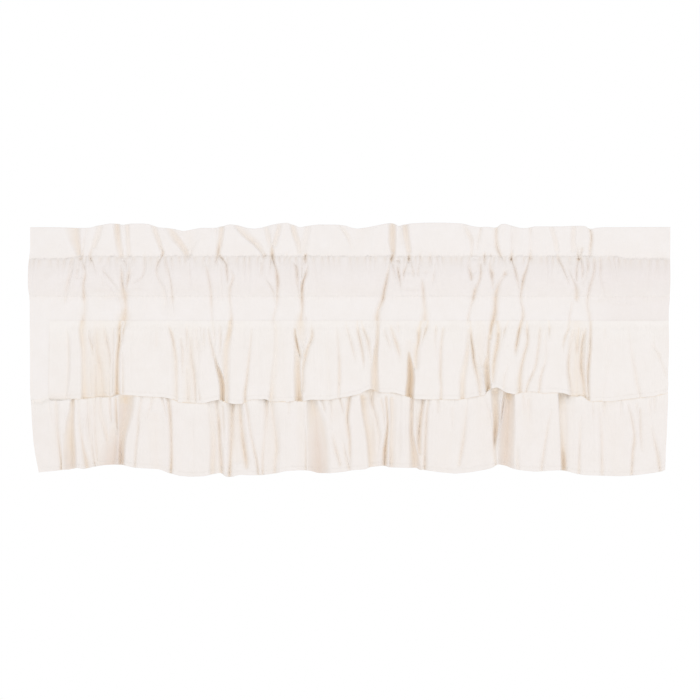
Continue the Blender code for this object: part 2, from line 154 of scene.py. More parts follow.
HEADING_LINES: Lines = (
    trench((12, 4), (76, 225, 9.5, 13, 5), (77, 240, 9.5, 9, 4), (80, 254, 8, 4, 2)),
    crease(2, (81, 256, 5.5), (83, 262, 4.6), (86, 270, 5), (86, 277, 8, 3, 2), (84, 284, 7),
        (84, 296, 8, 2.5), (85, 304, 4.6, 3, 4), (85, 312, 5, 4), (83, 319, 7.5, 3, 5), (83, 330, 8, 3, 6)),
    crease(1.5, (87, 231, 2), (84.5, 240, 2.5), (83, 250, 3), (82, 257, 6)),
    trench((4, 3.6), (100, 227, 5.4), (97.5, 238, 5), (94, 246, 5, 3)),
    crease((2.6, 2), (95, 244, 2), (91.5, 250, 4, 2, 1.5), (90, 255, 5, 1.6), (90, 259, 6, 1.5),
        (93, 262, 4, 1.5), (96, 270, 3, 1.5), (98, 278, 1, 1.5)),
    crease((2, 1.5), (73.5, 260, 2), (72.5, 270, 3), (69.5, 281, 3.2), (67, 291, 3), (65.5, 301, 2.2)),
    ridge(1.6, (76, 262, 1.2), (75, 271, 1.6), (72, 281, 1.6), (70, 290, 1.6), (68, 300, 1.4)),
    crease(1.6, (78.5, 271, 2.5), (77, 277, 2)),
    crease(1.8, (106, 262, 1), (103, 268, 2), (104.5, 272, 4), (109, 277, 4.5), (113, 282, 3.2),
        (117, 288, 2.5), (119.5, 293, 2)),
    ridge(2, (108, 283, 1), (113, 289, 2), (117, 296, 2.2), (120, 304, 2), (121, 312, 1.2)),
    crease(1.6, (102, 275, 1.6), (103, 284, 1.8)),
    trench((4, 3.4), (117, 223, 10), (118, 235, 9), (119.4, 246, 7.4), (121.5, 257, 6, 3)),
    crease(1.5, (120.5, 257, 3), (124, 260, 5), (126.5, 264, 5), (127, 268, 2)),
    crease((2, 1.7), (120.5, 266, 3), (122.5, 272, 5.5), (122.5, 280, 7), (123.5, 288, 9),
        (124.5, 293, 10, 6, 5), (125.5, 300, 7, 4, 3), (126, 306, 7, 4, 3), (125, 314, 10, 6, 5),
        (124, 320, 11, 6), (121, 327, 11, 5, 4)),
    crease(1.6, (129, 262, 2), (129.5, 270, 5), (129, 278, 7), (127.5, 285, 5), (126.5, 292, 3)),
    ridge(1.3, (125.5, 268, 1.5), (126, 280, 2), (125, 288, 1.5)),
    trench(2.4, (127.5, 226, 5.4), (128, 240, 4.6), (129, 256, 4)),
    crease(1.3, (132, 257, 3), (132, 264, 2)),
    crease(1.4, (144.5, 257, 2), (145.5, 264, 3.2), (145, 271, 3.8), (143, 277, 3.8), (139.5, 281, 3.4, 3),
        (131, 284.5, 2, 4)),
    trench(3, (153.5, 225, 6, 4, 3.4), (156.5, 235, 6), (159, 242, 6), (161, 248, 5, 2)),
    crease((2.6, 2), (159, 241, 3), (161, 247, 5, 2, 1.8), (163.5, 252, 7.5, 1.8, 1.6), (162, 257, 7.5, 1.6),
        (159.5, 261, 5.5, 1.5), (157.5, 266, 5, 1.5), (157, 271, 4.5, 1.5), (158, 277, 3.5, 1.5),
        (161, 283, 3, 1.6), (164, 289, 2.6, 1.8), (165.5, 296, 2.4, 2), (166, 303, 2, 2),
        (163, 312, 1.2, 2)),
    ridge(2, (163, 276, 1), (166, 286, 2), (168, 294, 2.2), (169, 304, 2), (169.5, 315, 1.2)),
    crease(1.6, (166, 262, 1.5), (167.5, 266, 3), (169, 272, 5), (171, 280, 5), (172, 288, 5.5),
        (172.5, 297, 5), (173, 303, 3), (174, 313, 1.5)),
    trench((6, 5), (169, 227, 7.4, 6, 5.5), (174, 235, 8.6), (179, 242, 9, 6, 5), (184, 249, 8, 4),
        (188, 257, 6, 3)),
    crease(1.5, (200, 238, 1), (194, 244, 1.8), (191, 250, 2), (190.5, 257, 3.5), (190, 263, 2.5),
        (190, 272, 2.4), (190.5, 285, 1.4)),
    crease(1.8, (205, 262, 2), (207, 268, 4.2), (208.5, 275, 5), (210, 283, 5), (211, 290, 5.5),
        (211.5, 300, 4.5), (212, 312, 3.2), (213, 328, 3)),
    crease(1.5, (216, 227, 3), (217, 240, 2), (217.5, 250, 2)),
    trench((3.4, 3.2), (222, 226, 8), (221, 237, 7), (219.5, 246, 6)),
    crease((2.2, 1.9), (221, 236, 5), (219.5, 244, 7.5), (218.5, 250, 9), (218, 256, 8)),
    crease(1.7, (219.5, 256.5, 8), (223, 259.5, 8, 2.6), (226, 263, 7), (227, 268, 7), (227.5, 274, 6),
        (228, 281, 4.5)),
    crease(1.5, (217.5, 257, 6), (216, 261, 4)),
    crease(1.4, (221.5, 271, 2.4), (222, 284, 2.2), (222, 297, 1.8)),
    crease((2.2, 1.7), (231, 270, 2.5), (234, 277, 5), (232.5, 282, 6, 3, 2), (230.5, 287, 5.5, 2.6, 2),
        (229.5, 296, 4.5), (231, 307, 3.6), (231.5, 315, 4.5), (231.5, 322, 8), (232, 330, 8)),
    trench((3, 8), (236, 226, 6, 3, 8), (243, 234, 7), (250, 240, 7.4), (256, 245, 6.4, 2.4, 6),
        (260, 250, 6, 2, 4), (264, 255, 5, 2, 3)),
    crease(1.6, (259.5, 257, 2), (261.5, 262, 3.6), (262, 268, 3.6), (261, 275, 1.5)),
    trench((3, 2.4), (266, 226, 4.6), (268.5, 237, 4.6), (270, 245, 4)),
    trench((2.4, 3.4), (279, 226, 5.4), (276.5, 237, 5.4), (274, 245, 5)),
    ridge(2.2, (272.5, 227, 1.6), (272, 243, 1.6)),
    crease(2, (272, 246, 6), (272, 251, 9), (272.2, 258, 11), (274, 263, 7, 1.6), (276, 268, 7, 1.6),
        (277, 272, 8), (277.5, 278, 10), (278, 284, 9), (277.5, 290, 7), (277, 297, 6), (277, 304, 4),
        (275, 312, 3.6), (273, 320, 4.4), (275, 332, 3.6)),
    crease(1.4, (271, 260, 6), (270.5, 266, 4.5), (271, 272, 2)),
    crease(1.7, (266, 279, 1.6), (269, 284, 4), (272, 288, 5), (274, 293, 5), (274.5, 299, 3)),
    crease(1.4, (286.5, 256, 3), (287, 266, 2)),
    trench((3, 4), (292, 225, 7.4), (295, 236, 7.4), (298, 244, 6), (300, 252, 4.6)),
    trench((3.6, 4), (308, 227, 4.6), (305, 240, 4), (303, 252, 3.4)),
    crease(1.9, (305.5, 256, 8), (305.5, 261, 8)),
    crease(1.8, (308, 262, 3), (307.5, 268, 4.6), (306, 274, 6.5), (304, 279, 9), (302.5, 284, 11.5),
        (302, 290, 12), (302, 297, 9), (302.5, 310, 6.5, 3, 2.4), (301, 317, 8, 5, 3.5),
        (300.5, 330, 10, 5)),
    crease(1.6, (292.5, 262, 2), (295, 264.5, 4), (297, 268, 6), (297.5, 275, 6.6), (297.5, 283, 5),
        (298.5, 290, 4), (300, 296, 4)),
    crease(1.3, (302.5, 262, 2.5), (302, 269, 4), (302, 277, 4)),
    crease(1.5, (305.2, 318, 4), (305.5, 332, 4)),
    facet((2, 5), (340, 226, 3), (345, 233, 4.2), (348, 238, 4.4), (350, 244, 3), (352, 250, 1.2)),
    trench((4.4, 4), (392.5, 222, 12), (392.5, 234, 11), (392.4, 243, 10), (393.3, 251, 9, 3, 2.4)),
    crease((2.4, 2.2), (393.3, 250, 6, 2.2, 2), (393.4, 254.5, 8, 2), (391.5, 258, 11, 2.2, 2),
        (391, 261, 9, 2)),
    crease(1.7, (390, 262, 4.5), (388.5, 270, 5), (387, 278, 7), (385.5, 285, 9, 2, 1.7),
        (384, 292, 10, 2.2, 1.8), (383, 299, 9, 2.4, 2), (380.5, 305, 7, 3, 2.4), (378, 310, 6.5, 3, 2.6),
        (377, 317, 9, 3.6), (377.5, 330, 7, 2.6)),
    crease(1.4, (391.5, 262, 5), (393, 268, 4.4), (395, 275, 3.4), (397, 282, 2.6), (399, 288, 1.4)),
    crease(1.5, (397, 265, 3), (398, 271, 8), (399, 277, 8), (400, 283, 5), (400.5, 289, 2)),
    trench((4, 3.4), (405, 223, 9), (405.8, 233, 8.6), (407.4, 242, 7.4), (409, 251, 7, 3)),
    crease(2, (409, 251, 3), (408.8, 255, 6), (408.5, 260, 9, 1.8)),
    crease(1.7, (400.5, 225, 3), (402, 235, 2.4), (403.5, 244, 1.6)),
    crease(1.5, (407.5, 261, 4.4), (406, 267, 5.4), (404, 272, 6.4), (403, 279, 3)),
    crease(1.5, (410.5, 261, 4.4), (412.5, 268, 4.4), (413.5, 275, 4)),
    crease(1.4, (420, 256, 3), (419.5, 262, 4), (418, 270, 3.4), (418, 275, 3)),
    crease((1.8, 2.2), (421.5, 280, 3), (422.5, 285, 6), (423, 291, 7.4), (423.5, 297, 6.4),
        (424, 304, 6, 3, 3.6), (425, 311, 6, 3.6, 4), (424.5, 317, 8, 4.4, 4.6), (425, 330, 7, 3)),
    crease(1.4, (435, 264, 2.6), (434.5, 272, 3.2), (433, 279, 2.6), (432, 285, 1.4)),
    crease(1.4, (430, 256, 3.2), (429.8, 264, 2.2)),
    facet((4, 3), (464, 226, 3), (467, 231, 4.2), (470, 236, 5), (472, 241, 4.6, 3, 2.4),
        (472, 248, 3.2, 2.2, 2), (471, 255, 3.4, 2)),
    crease(2.2, (481, 228, 5), (479.5, 234, 4), (478.5, 240, 3.6), (477, 248, 3)),
    crease(1.5, (484.5, 256, 6), (484.5, 262, 4)),
    crease(1.8, (468, 264, 2), (469, 270, 5), (470.5, 274, 9), (471, 278, 7)),
    crease(1.8, (480.5, 265, 5), (480.5, 272, 7), (480, 278, 7), (478.5, 283, 6, 2.2, 2), (476, 287, 6, 2.6),
        (474.5, 291, 9, 2.2), (473.5, 297, 8, 2.2), (472, 302, 4), (469.5, 310, 3.6), (468, 318, 5),
        (467.5, 327, 5)),
    crease((2.6, 2), (496.5, 227, 7), (496, 236, 6.4), (496.5, 243, 7), (497.5, 249, 8), (499, 253, 7, 2),
        (500.5, 256.5, 6, 2), (503, 259.5, 4, 2)),
    crease(2, (491, 257, 4), (490, 264, 4.4), (490, 270, 7), (491.5, 275, 8), (492, 282, 5), (493, 288, 4)),
    crease((2.6, 2.4), (505, 273, 5), (503, 277, 4.4), (500, 281, 4.6), (498, 286, 6), (496.5, 291, 9, 3),
        (495.5, 297, 9, 3.2, 3), (495.3, 304, 9, 3.2, 3), (495, 311, 10, 3.4, 3), (494, 317, 11, 3.6, 3.4),
        (492.5, 323, 12, 3), (491, 331, 11)),
    crease(1.6, (511.5, 226, 2.4), (512, 240, 2.6), (512, 249, 2.8), (511.5, 255, 5), (511, 259, 10, 1.9),
        (512.5, 263, 6), (514, 268, 6.4), (515.5, 274, 7), (517, 281, 5), (519, 289, 4)),
    crease(1.8, (530, 227, 5), (530.5, 236, 2.6), (530.5, 248, 2.4), (530, 255, 5), (529.5, 259, 8, 2),
        (528, 263, 6), (526, 270, 7), (524, 275, 8, 2), (522.5, 281, 9), (521.5, 287, 8), (520.5, 294, 6),
        (520.5, 301, 4.4), (522.5, 308, 5.4, 2, 2.4), (523, 315, 7, 2.4, 3), (521.5, 323, 7), (519, 331, 7)),
    trench(3, (551, 227, 4.4), (555, 239, 5), (557, 250, 4.4)),
    crease(1.4, (557.5, 254, 3), (557, 258, 5.4, 2), (560, 263, 6), (562.5, 268, 6), (565, 275, 4.4),
        (568, 282, 3)),
    crease(1.7, (567, 268, 2), (570, 275, 3.4), (573, 281, 5), (575.5, 286, 6.4, 2.2, 1.8),
        (576.5, 292, 7.6, 2.6, 2.4), (576.5, 298, 6, 2.6, 2.4)),
    trench(3, (573.5, 226, 5), (573, 240, 5), (573.5, 250, 4)),
    crease(1.5, (577.5, 250, 4), (578, 255, 5), (579, 259.5, 9, 2.6), (577, 264, 5), (576, 271, 5.4),
        (575.8, 279, 5)),
    crease(1.4, (582, 250, 5), (580, 256, 5)),
    crease(1.4, (581, 261, 4), (582.5, 270, 5), (581.5, 278, 3)),
    crease(1.6, (588, 262, 3), (587, 270, 3.6), (585, 277, 3.2), (582, 284, 2)),
    crease((2.2, 1.8), (588, 227, 5), (591, 232, 7), (591.5, 238, 8), (591, 244, 7), (590, 250, 6),
        (590, 257, 4)),
    crease(1.8, (594, 262, 4), (594, 269, 5.2), (592.5, 275, 5.2), (591, 281, 5.2), (589, 288, 6),
        (588, 294, 6), (587, 300, 5, 2.2, 2), (587.5, 308, 4.6, 2.4, 2.2), (589, 315, 5, 2.8, 2.4),
        (590.5, 328, 4.6)),
    crease(1.5, (600.5, 261, 4), (600, 269, 4.2), (599.5, 275, 3.2), (600, 281, 2.4), (602, 288, 2.2),
        (604, 295, 1.6)),
    crease(1.5, (571.5, 303, 2.4), (571, 308, 3), (569, 316, 4), (569, 330, 4)),
    crease(1.4, (618, 261, 3.4), (618, 270, 2)),
    crease(2.4, (634, 262, 1.4), (634.5, 278, 1.2)),
)

HEADING_RECESSES: Lines = (
    trench(4, (190, 229, 3, 14, 9), (190, 240, 3.4, 10, 9), (189, 252, 2.4, 6)),
    trench((12, 10), (110, 296, 2.2), (106, 282, 2), (104, 268, 0.8, 8)),
    trench(12, (361, 226, 3.2), (362, 240, 2.4), (362, 250, 1)),
    trench(4, (404, 226, 2.5, 8, 6), (405, 245, 2, 6, 4)),
    trench((3.5, 4), (515, 227, 2.6, 4, 8), (515, 248, 2, 4, 6)),
    trench(10, (580, 228, 1.6), (580, 250, 1.6)),
    trench(14, (99, 316, 1), (99, 330, 3.5)),
)

# Short folds that lie across the cloth: x, y, half length, half width, degrees up to the right, depth
HEADING_DENTS: tuple[Dent, ...] = (
    Dent(81, 259, 2.2, 1.7, 0, 6),
    Dent(90, 259, 1.8, 2, 0, 4),
    Dent(80.5, 278, 5, 1.5, -8, 3),
    Dent(98, 292, 11, 3, 0, 2.4),
    Dent(132, 273, 4, 3, 0, 3),
    Dent(137, 291, 8, 2.5, 0, 1.6),
    Dent(265, 256, 3.4, 1.4, -10, 3),
    Dent(280, 263, 6, 2, -45, -1.5),
    Dent(272, 258, 2, 2, 0, 3),
    Dent(372, 257, 5, 1.2, 4, 2.6),
    Dent(398, 261.5, 3, 1.2, -28, 6),
    Dent(400, 258, 3.4, 1.6, 0, -2),
    Dent(411, 272, 12, 2.4, 0, 2.6),
    Dent(425.5, 272.5, 2.2, 2.4, 0, 3.4),
    Dent(410, 282, 8, 3.4, 0, 2),
    Dent(411, 291.5, 11, 2.2, -4, 3.2),
    Dent(475, 259, 4, 1.6, 8, 5),
    Dent(474, 272, 3, 2, 30, 3),
    Dent(505, 274.5, 2, 2, 0, 4),
    Dent(492, 274, 2.4, 4, 0, 3),
    Dent(497, 284, 3, 3, 0, 2),
    Dent(578.6, 259.2, 2.6, 1.3, 0, 8),
    Dent(391, 259, 1.3, 2, 0, 7),
    Dent(511.2, 259.4, 1.3, 2, 0, 9),
    Dent(408.6, 258.8, 1.3, 1.7, 0, 5),
    Dent(220.4, 258.2, 2, 1.3, 0, 6),
    Dent(305.2, 258.4, 1.5, 1.5, 0, 5),
    Dent(529, 258.6, 1.5, 1.5, 0, 4),
    Dent(625, 303, 11, 2.2, 4, 1.6),
    Dent(598, 300, 8, 2, 10, 1.4),
    Dent(44, 284, 3, 10, 0, 1.2),
    Dent(52, 272, 9, 4, 10, 1.2),
)

UPPER_LINES: Lines = (
    crease((1.9, 1.6), (66.5, 327, 2.4), (68.5, 337, 4), (69, 350, 4), (69, 365, 4), (68.5, 375, 3.4),
        (67.5, 385, 2.8), (66.5, 395, 2.6), (66, 402, 2.6)),
    ridge(1.8, (71.5, 345, 1), (71.5, 378, 1.4), (69.5, 389, 1.4), (68, 396, 1)),
    ridge(3.2, (52, 335, 0.8), (53, 362, 1.6), (54, 385, 1)),
    facet((2.6, 8), (82, 319, 8), (81, 330, 7), (82, 340, 7), (83.5, 350, 6), (84, 375, 6), (84, 386, 7.5),
        (84, 398, 8)),
    crease(1.9, (95, 320, 2.4), (96.5, 332, 3.4), (97.3, 345, 3.8), (97.5, 353, 4), (99.5, 361, 4.6, 2.4),
        (101.5, 371, 5, 3.4, 3), (102.5, 381, 5.4, 4, 3.6), (104, 397, 5.6, 4.4, 4)),
    crease(1.6, (104, 327, 3), (106, 335, 4.2), (107.5, 342, 4.4), (109, 349, 4.4), (110.5, 357, 4),
        (111, 366, 3), (110.5, 374, 1.4)),
    crease(1.5, (88.5, 332, 3), (91, 342, 4), (93, 348, 4.4), (94, 353, 2)),
    crease(1.6, (113.5, 328, 3), (113.6, 350, 3.6), (113.4, 392, 4.4)),
    crease(1.6, (91, 360, 2.4), (91.6, 392, 3.4)),
    crease(1.5, (96.2, 366, 2.4), (96.8, 394, 3.4)),
    crease(1.5, (109.6, 372, 2.4), (109.8, 394, 3)),
    crease(1.4, (186.4, 326, 3.4), (187.4, 338, 3.4), (187.6, 350, 2)),
    crease(1.5, (187.6, 370, 2), (188.6, 398, 3)),
    crease(1.4, (200.6, 328, 3), (201, 340, 2)),
    crease(1.5, (220.4, 326, 3), (221, 338, 3.4), (220.4, 352, 3)),
    ridge(1.4, (91, 332, 1), (93.5, 341, 1.6), (95, 347, 1.2)),
    crease(2, (87, 358, 1.4), (88, 390, 2)),
    crease((2.6, 2), (120.5, 320, 9), (119.7, 330, 10), (120, 338, 9.4), (119.5, 345, 9.2),
        (118.5, 353, 9, 3, 2), (118, 363, 9, 3.4, 2), (117.5, 382, 10, 3.4, 2.6), (117.7, 398, 12, 4, 3.6)),
    crease(1.8, (126.5, 318, 7), (124, 330, 6), (122, 341, 4)),
    crease(1.6, (122.5, 354, 2.6), (123.5, 370, 3), (123.5, 392, 4.6)),
    crease(1.6, (157, 333, 1.6), (157, 344, 2.2)),
    crease(1.4, (132, 332, 1.4), (134, 343, 1.4)),
    crease(1.9, (169, 326, 3), (171.5, 333, 6), (173.5, 341, 6), (175, 350, 5.4, 2.2, 2),
        (176.5, 360, 5, 3, 2.2), (177, 398, 4.6, 3.6, 2.6)),
    crease(1.6, (181, 340, 2.4), (183, 350, 4.2), (183, 362, 3.6), (183, 374, 2)),
    crease(1.8, (190, 338, 2.6), (191, 348, 3.6), (191.5, 356, 3.6), (193, 364, 4.6), (194.5, 373, 4.8),
        (195.5, 382, 5.2), (196, 400, 4.2)),
    crease(1.6, (198, 387, 2), (200.5, 398, 4)),
    crease(1.5, (196.5, 328, 2.6), (197.5, 346, 2)),
    crease(1.4, (204, 329, 2.8), (204, 343, 2)),
    crease(1.7, (208.5, 329, 3), (210.5, 340, 4), (212.5, 347, 4.6), (214, 355, 5)),
    crease(1.4, (213, 322, 2.4), (214.5, 334, 3), (215, 345, 2)),
    trench(2, (215, 357, 4, 1.4), (217, 365, 6.6, 1.8), (219.5, 372, 11, 2.6, 2.8), (221.5, 379, 12.5, 3, 4),
        (222.5, 386, 13.5, 3, 4.4), (222.8, 393, 13.5, 3, 3.6), (222.8, 402, 12, 3)),
    facet(4, (229.8, 320, 8, 3), (230, 330, 8, 3, 3.4), (228, 340, 7, 4), (226, 350, 6.6, 5, 5.4),
        (225.5, 364, 6.6, 4, 5.6), (226, 376, 6.4, 3, 5), (227, 402, 6, 2, 3.4)),
    crease((2, 1.6), (252, 328, 2), (251, 340, 3), (250, 352, 3.6), (249, 362, 4.2), (248, 372, 4.8),
        (247, 382, 5.2), (245.5, 391, 6), (245.5, 402, 6.6)),
    facet((2.2, 4.6), (274, 319, 3), (276, 332, 3), (276, 345, 2.6), (275, 358, 3), (273.5, 370, 3),
        (272.5, 380, 3.6), (271.5, 390, 4.8), (270.5, 402, 5.4)),
    crease(1.7, (295, 330, 7), (296, 338, 10), (297.5, 346, 11), (299.5, 354, 9), (300.5, 358, 5)),
    trench((3.4, 3), (297, 346, 5), (298, 360, 8, 4, 3), (298, 372, 9, 4.4, 3.4),
        (298.5, 382, 10.5, 4.4, 3.6), (299.3, 402, 12.5, 4.6, 4)),
    trench(6, (300.5, 316, 8), (300, 328, 8), (300.5, 337, 6), (301.5, 344, 3)),
    crease(1.9, (311.5, 326, 3.4), (312.5, 335, 6), (311, 341, 6), (308, 347, 6, 2.4, 2.2),
        (306, 354, 6, 2.6, 2.2), (304.5, 362, 5.6, 2.4, 2), (303, 370, 5, 2.4, 2), (302.6, 390, 6)),
    ridge(1.5, (301.5, 341, 1.6), (303, 348, 2), (302.5, 356, 1.4)),
    crease(2.6, (327.5, 328, 1.2), (327.5, 350, 1.6), (328.5, 372, 1.4), (330, 398, 1.4)),
    crease(1.8, (336, 324, 2), (337.5, 335, 2.6), (338.5, 350, 3.2), (339.5, 362, 4.2), (339.5, 376, 4.6),
        (339, 388, 4.2), (338.5, 399, 3)),
    crease(1.7, (346, 324, 3.8), (348.5, 333, 3.2), (351, 342, 3.6), (353, 350, 3.8), (355, 359, 2)),
    crease(1.7, (357.5, 320, 5), (357.5, 328, 6), (359, 336, 5.2), (361, 344, 5.2), (362.5, 352, 5.2),
        (363.5, 360, 5), (363.5, 367, 2)),
    crease((2.2, 2), (361.5, 321, 4.4), (363, 328, 5.2), (366, 335, 5.4), (368, 341, 5.2), (369.5, 350, 3.4),
        (371, 360, 3.4), (372, 371, 4)),
    trench((2.4, 2), (378, 320, 5.6), (377.6, 332, 6), (377.3, 342, 7), (376, 352, 8, 3, 2.4),
        (375.4, 362, 9, 4, 3), (375, 372, 9, 5, 3.6), (375.2, 394, 9.5, 5, 4.6)),
    crease(1.9, (384.5, 331, 3), (387, 338, 3.8), (390, 347, 2)),
    crease((2.7, 2.5), (391, 327, 4), (393.5, 336, 5.2), (396.5, 344, 6.2), (398.8, 352, 5), (400, 359, 2)),
    crease(1.6, (397.5, 318, 3.4), (398.5, 331, 2.4)),
    facet((7, 6), (409, 342, 3), (409.5, 360, 4), (409.5, 402, 4.5)),
    trench(2, (408.8, 354, 7, 1.6), (409.6, 361, 12.5, 3.2), (410.2, 368, 15, 3.8, 4.2),
        (410.3, 380, 17, 4.2, 4.8), (409.6, 389, 17.5, 4.6), (409.4, 402, 17, 5, 4.6)),
    crease((2.6, 2.4), (421, 322, 7), (419, 330, 8), (418.4, 342, 8), (416.4, 350, 7, 3.4, 3),
        (415.6, 360, 6.6, 3.4), (416, 367, 5)),
    crease(1.6, (428, 321, 7), (426, 329, 6), (423.5, 336, 4.4), (421, 345, 2.4)),
    trench(5, (415.5, 345, 5, 6), (415, 366, 5, 5)),
    crease((1.7, 1.5), (436, 327, 4), (435.5, 333, 4), (435, 342, 2), (436, 357, 1.6)),
    crease((1.9, 1.7), (443, 329, 3.6), (441.5, 340, 4.2), (440.5, 352, 4.2), (440, 376, 4.8),
        (441, 386, 4.4), (440.5, 402, 4.4)),
    facet(3, (469.5, 330, 4), (468.5, 340, 4.2), (467, 352, 5), (465.5, 362, 5, 4, 3),
        (463.5, 372, 5.2, 5, 4), (462, 382, 6, 4.4, 4), (462, 402, 7, 3.6, 3.4)),
    crease((1.9, 1.7), (470.3, 316, 5), (470.4, 330, 6), (471, 340, 8), (472.5, 350, 9), (473.5, 360, 8.4),
        (475, 368, 7, 2, 2.4), (477, 376, 5.6, 2, 3), (479, 386, 5, 2, 3), (480, 398, 5, 2, 3)),
    ridge((2, 1.6), (478.5, 358, 1.4), (481, 371, 2.6), (484, 384, 3), (486.4, 394, 2.6)),
    trench(2, (487, 358, 6, 2), (486.6, 366, 10, 4, 3.2), (487, 376, 12, 4, 3.4), (487.6, 386, 13, 3.8, 3.2),
        (488.6, 398, 13, 3)),
    crease(2, (489, 336, 6), (488, 350, 6.4), (488, 359, 7)),
    crease(2.4, (492.5, 320, 11), (490.8, 329, 9.6), (489.6, 338, 7.4)),
    crease((3.4, 2.8), (497, 320, 8), (498.5, 330, 9), (498, 338, 8), (497, 346, 8), (495.2, 354, 8),
        (493.8, 362, 8), (493, 371, 7), (492.5, 380, 5)),
    crease(1.7, (508.5, 320, 4.4), (504.5, 330, 4.4), (502, 339, 2.6)),
    crease(2.6, (507, 367, 2), (504, 376, 2.8), (503, 388, 3)),
    crease(1.8, (521, 320, 8), (519, 330, 9), (517.5, 338, 8), (516, 346, 7), (515, 353, 3.4)),
    crease((1.8, 1.7), (526.5, 320, 5), (527, 330, 6), (527.5, 338, 5.6), (526.5, 346, 5.2),
        (524, 354, 5.6, 2, 1.8), (522, 362, 6, 2.4, 1.8), (520.5, 370, 6.4, 3, 2), (519.5, 378, 7, 3.6, 2.4),
        (519.2, 394, 7, 3.6, 2.6)),
    crease(1.8, (540, 327, 3), (539, 336, 4.2), (538.5, 344, 4.2), (537, 353, 4.2), (536, 362, 4.2),
        (534.5, 368, 4.2), (531, 376, 4.8), (528, 382, 4.8), (525.5, 392, 4.2)),
    crease(1.8, (546, 328, 1.6), (545, 342, 2), (546, 352, 2), (545, 362, 2.6), (542, 370, 4.2),
        (540, 378, 4.4), (538.3, 394, 4.2)),
    crease(1.6, (548.5, 319, 5), (549, 328, 4.4), (548.5, 337, 2.4)),
    crease((2, 1.8), (570, 320, 3.4), (568, 330, 4.6), (565, 336, 5), (563, 343, 4.2), (562.5, 351, 1.6)),
    crease(1.9, (576, 320, 3.4), (572.5, 332, 3.4), (570, 342, 3.6), (569, 352, 4.4), (567.6, 362, 6),
        (568, 372, 5.6), (569.5, 382, 5.2), (571.5, 396, 4.2)),
    crease(1.6, (578.5, 329, 8.4), (577.5, 338, 8.4), (577, 346, 7.6), (577, 351, 3)),
    crease((1.9, 1.6), (585, 329, 5), (583, 338, 6), (581.5, 346, 6.6), (581, 356, 7.4), (580.6, 366, 8),
        (582, 376, 7.4, 2, 2.4), (583.4, 386, 6.6, 2.2, 4), (584.4, 402, 6.4, 2.6, 4.4)),
    ridge(1.9, (586, 338, 1.8), (585.2, 354, 3), (584.8, 369, 2)),
    crease((1.6, 1.4), (590.5, 320, 5.4), (590, 338, 6), (589.5, 350, 6), (588.5, 360, 6.4), (587.6, 370, 7),
        (587.4, 386, 6.4), (588.2, 403, 6)),
    crease(2, (604.5, 330, 2.4), (604.5, 337, 1.6)),
    crease(2.2, (628, 326, 1), (630, 345, 2), (632, 360, 3), (634.5, 372, 3.2), (636, 382, 3.2),
        (639.5, 396, 3.2)),
    crease(3, (606, 342, 1), (607, 372, 1.8), (603, 386, 1.8), (601, 402, 1.6)),
    crease(2, (652.5, 340, 1), (653, 348, 2.6), (656.5, 352, 2.8), (659, 358, 2.8), (662, 366, 2.8),
        (665, 375, 2.2)),
)

UPPER_RECESSES: Lines = (
    trench((19, 20), (100, 320, 3), (100, 345, 5), (99, 370, 6), (99, 400, 7)),
    trench(8, (275.5, 320, 2), (275.5, 402, 2.4)),
    trench(10, (480, 322, 3.4), (480, 345, 4), (481, 365, 4)),
    trench((9, 14), (576, 319, 4), (576, 345, 5), (576, 370, 6), (576, 398, 6)),
    trench(14, (192, 325, 2.4), (192, 350, 3.4), (190, 370, 4, 9), (189, 402, 4.2, 9)),
    trench(8, (283, 330, 1.4), (284, 402, 1.6)),
    trench((7, 9), (238, 322, 2), (240, 345, 1.2)),
)

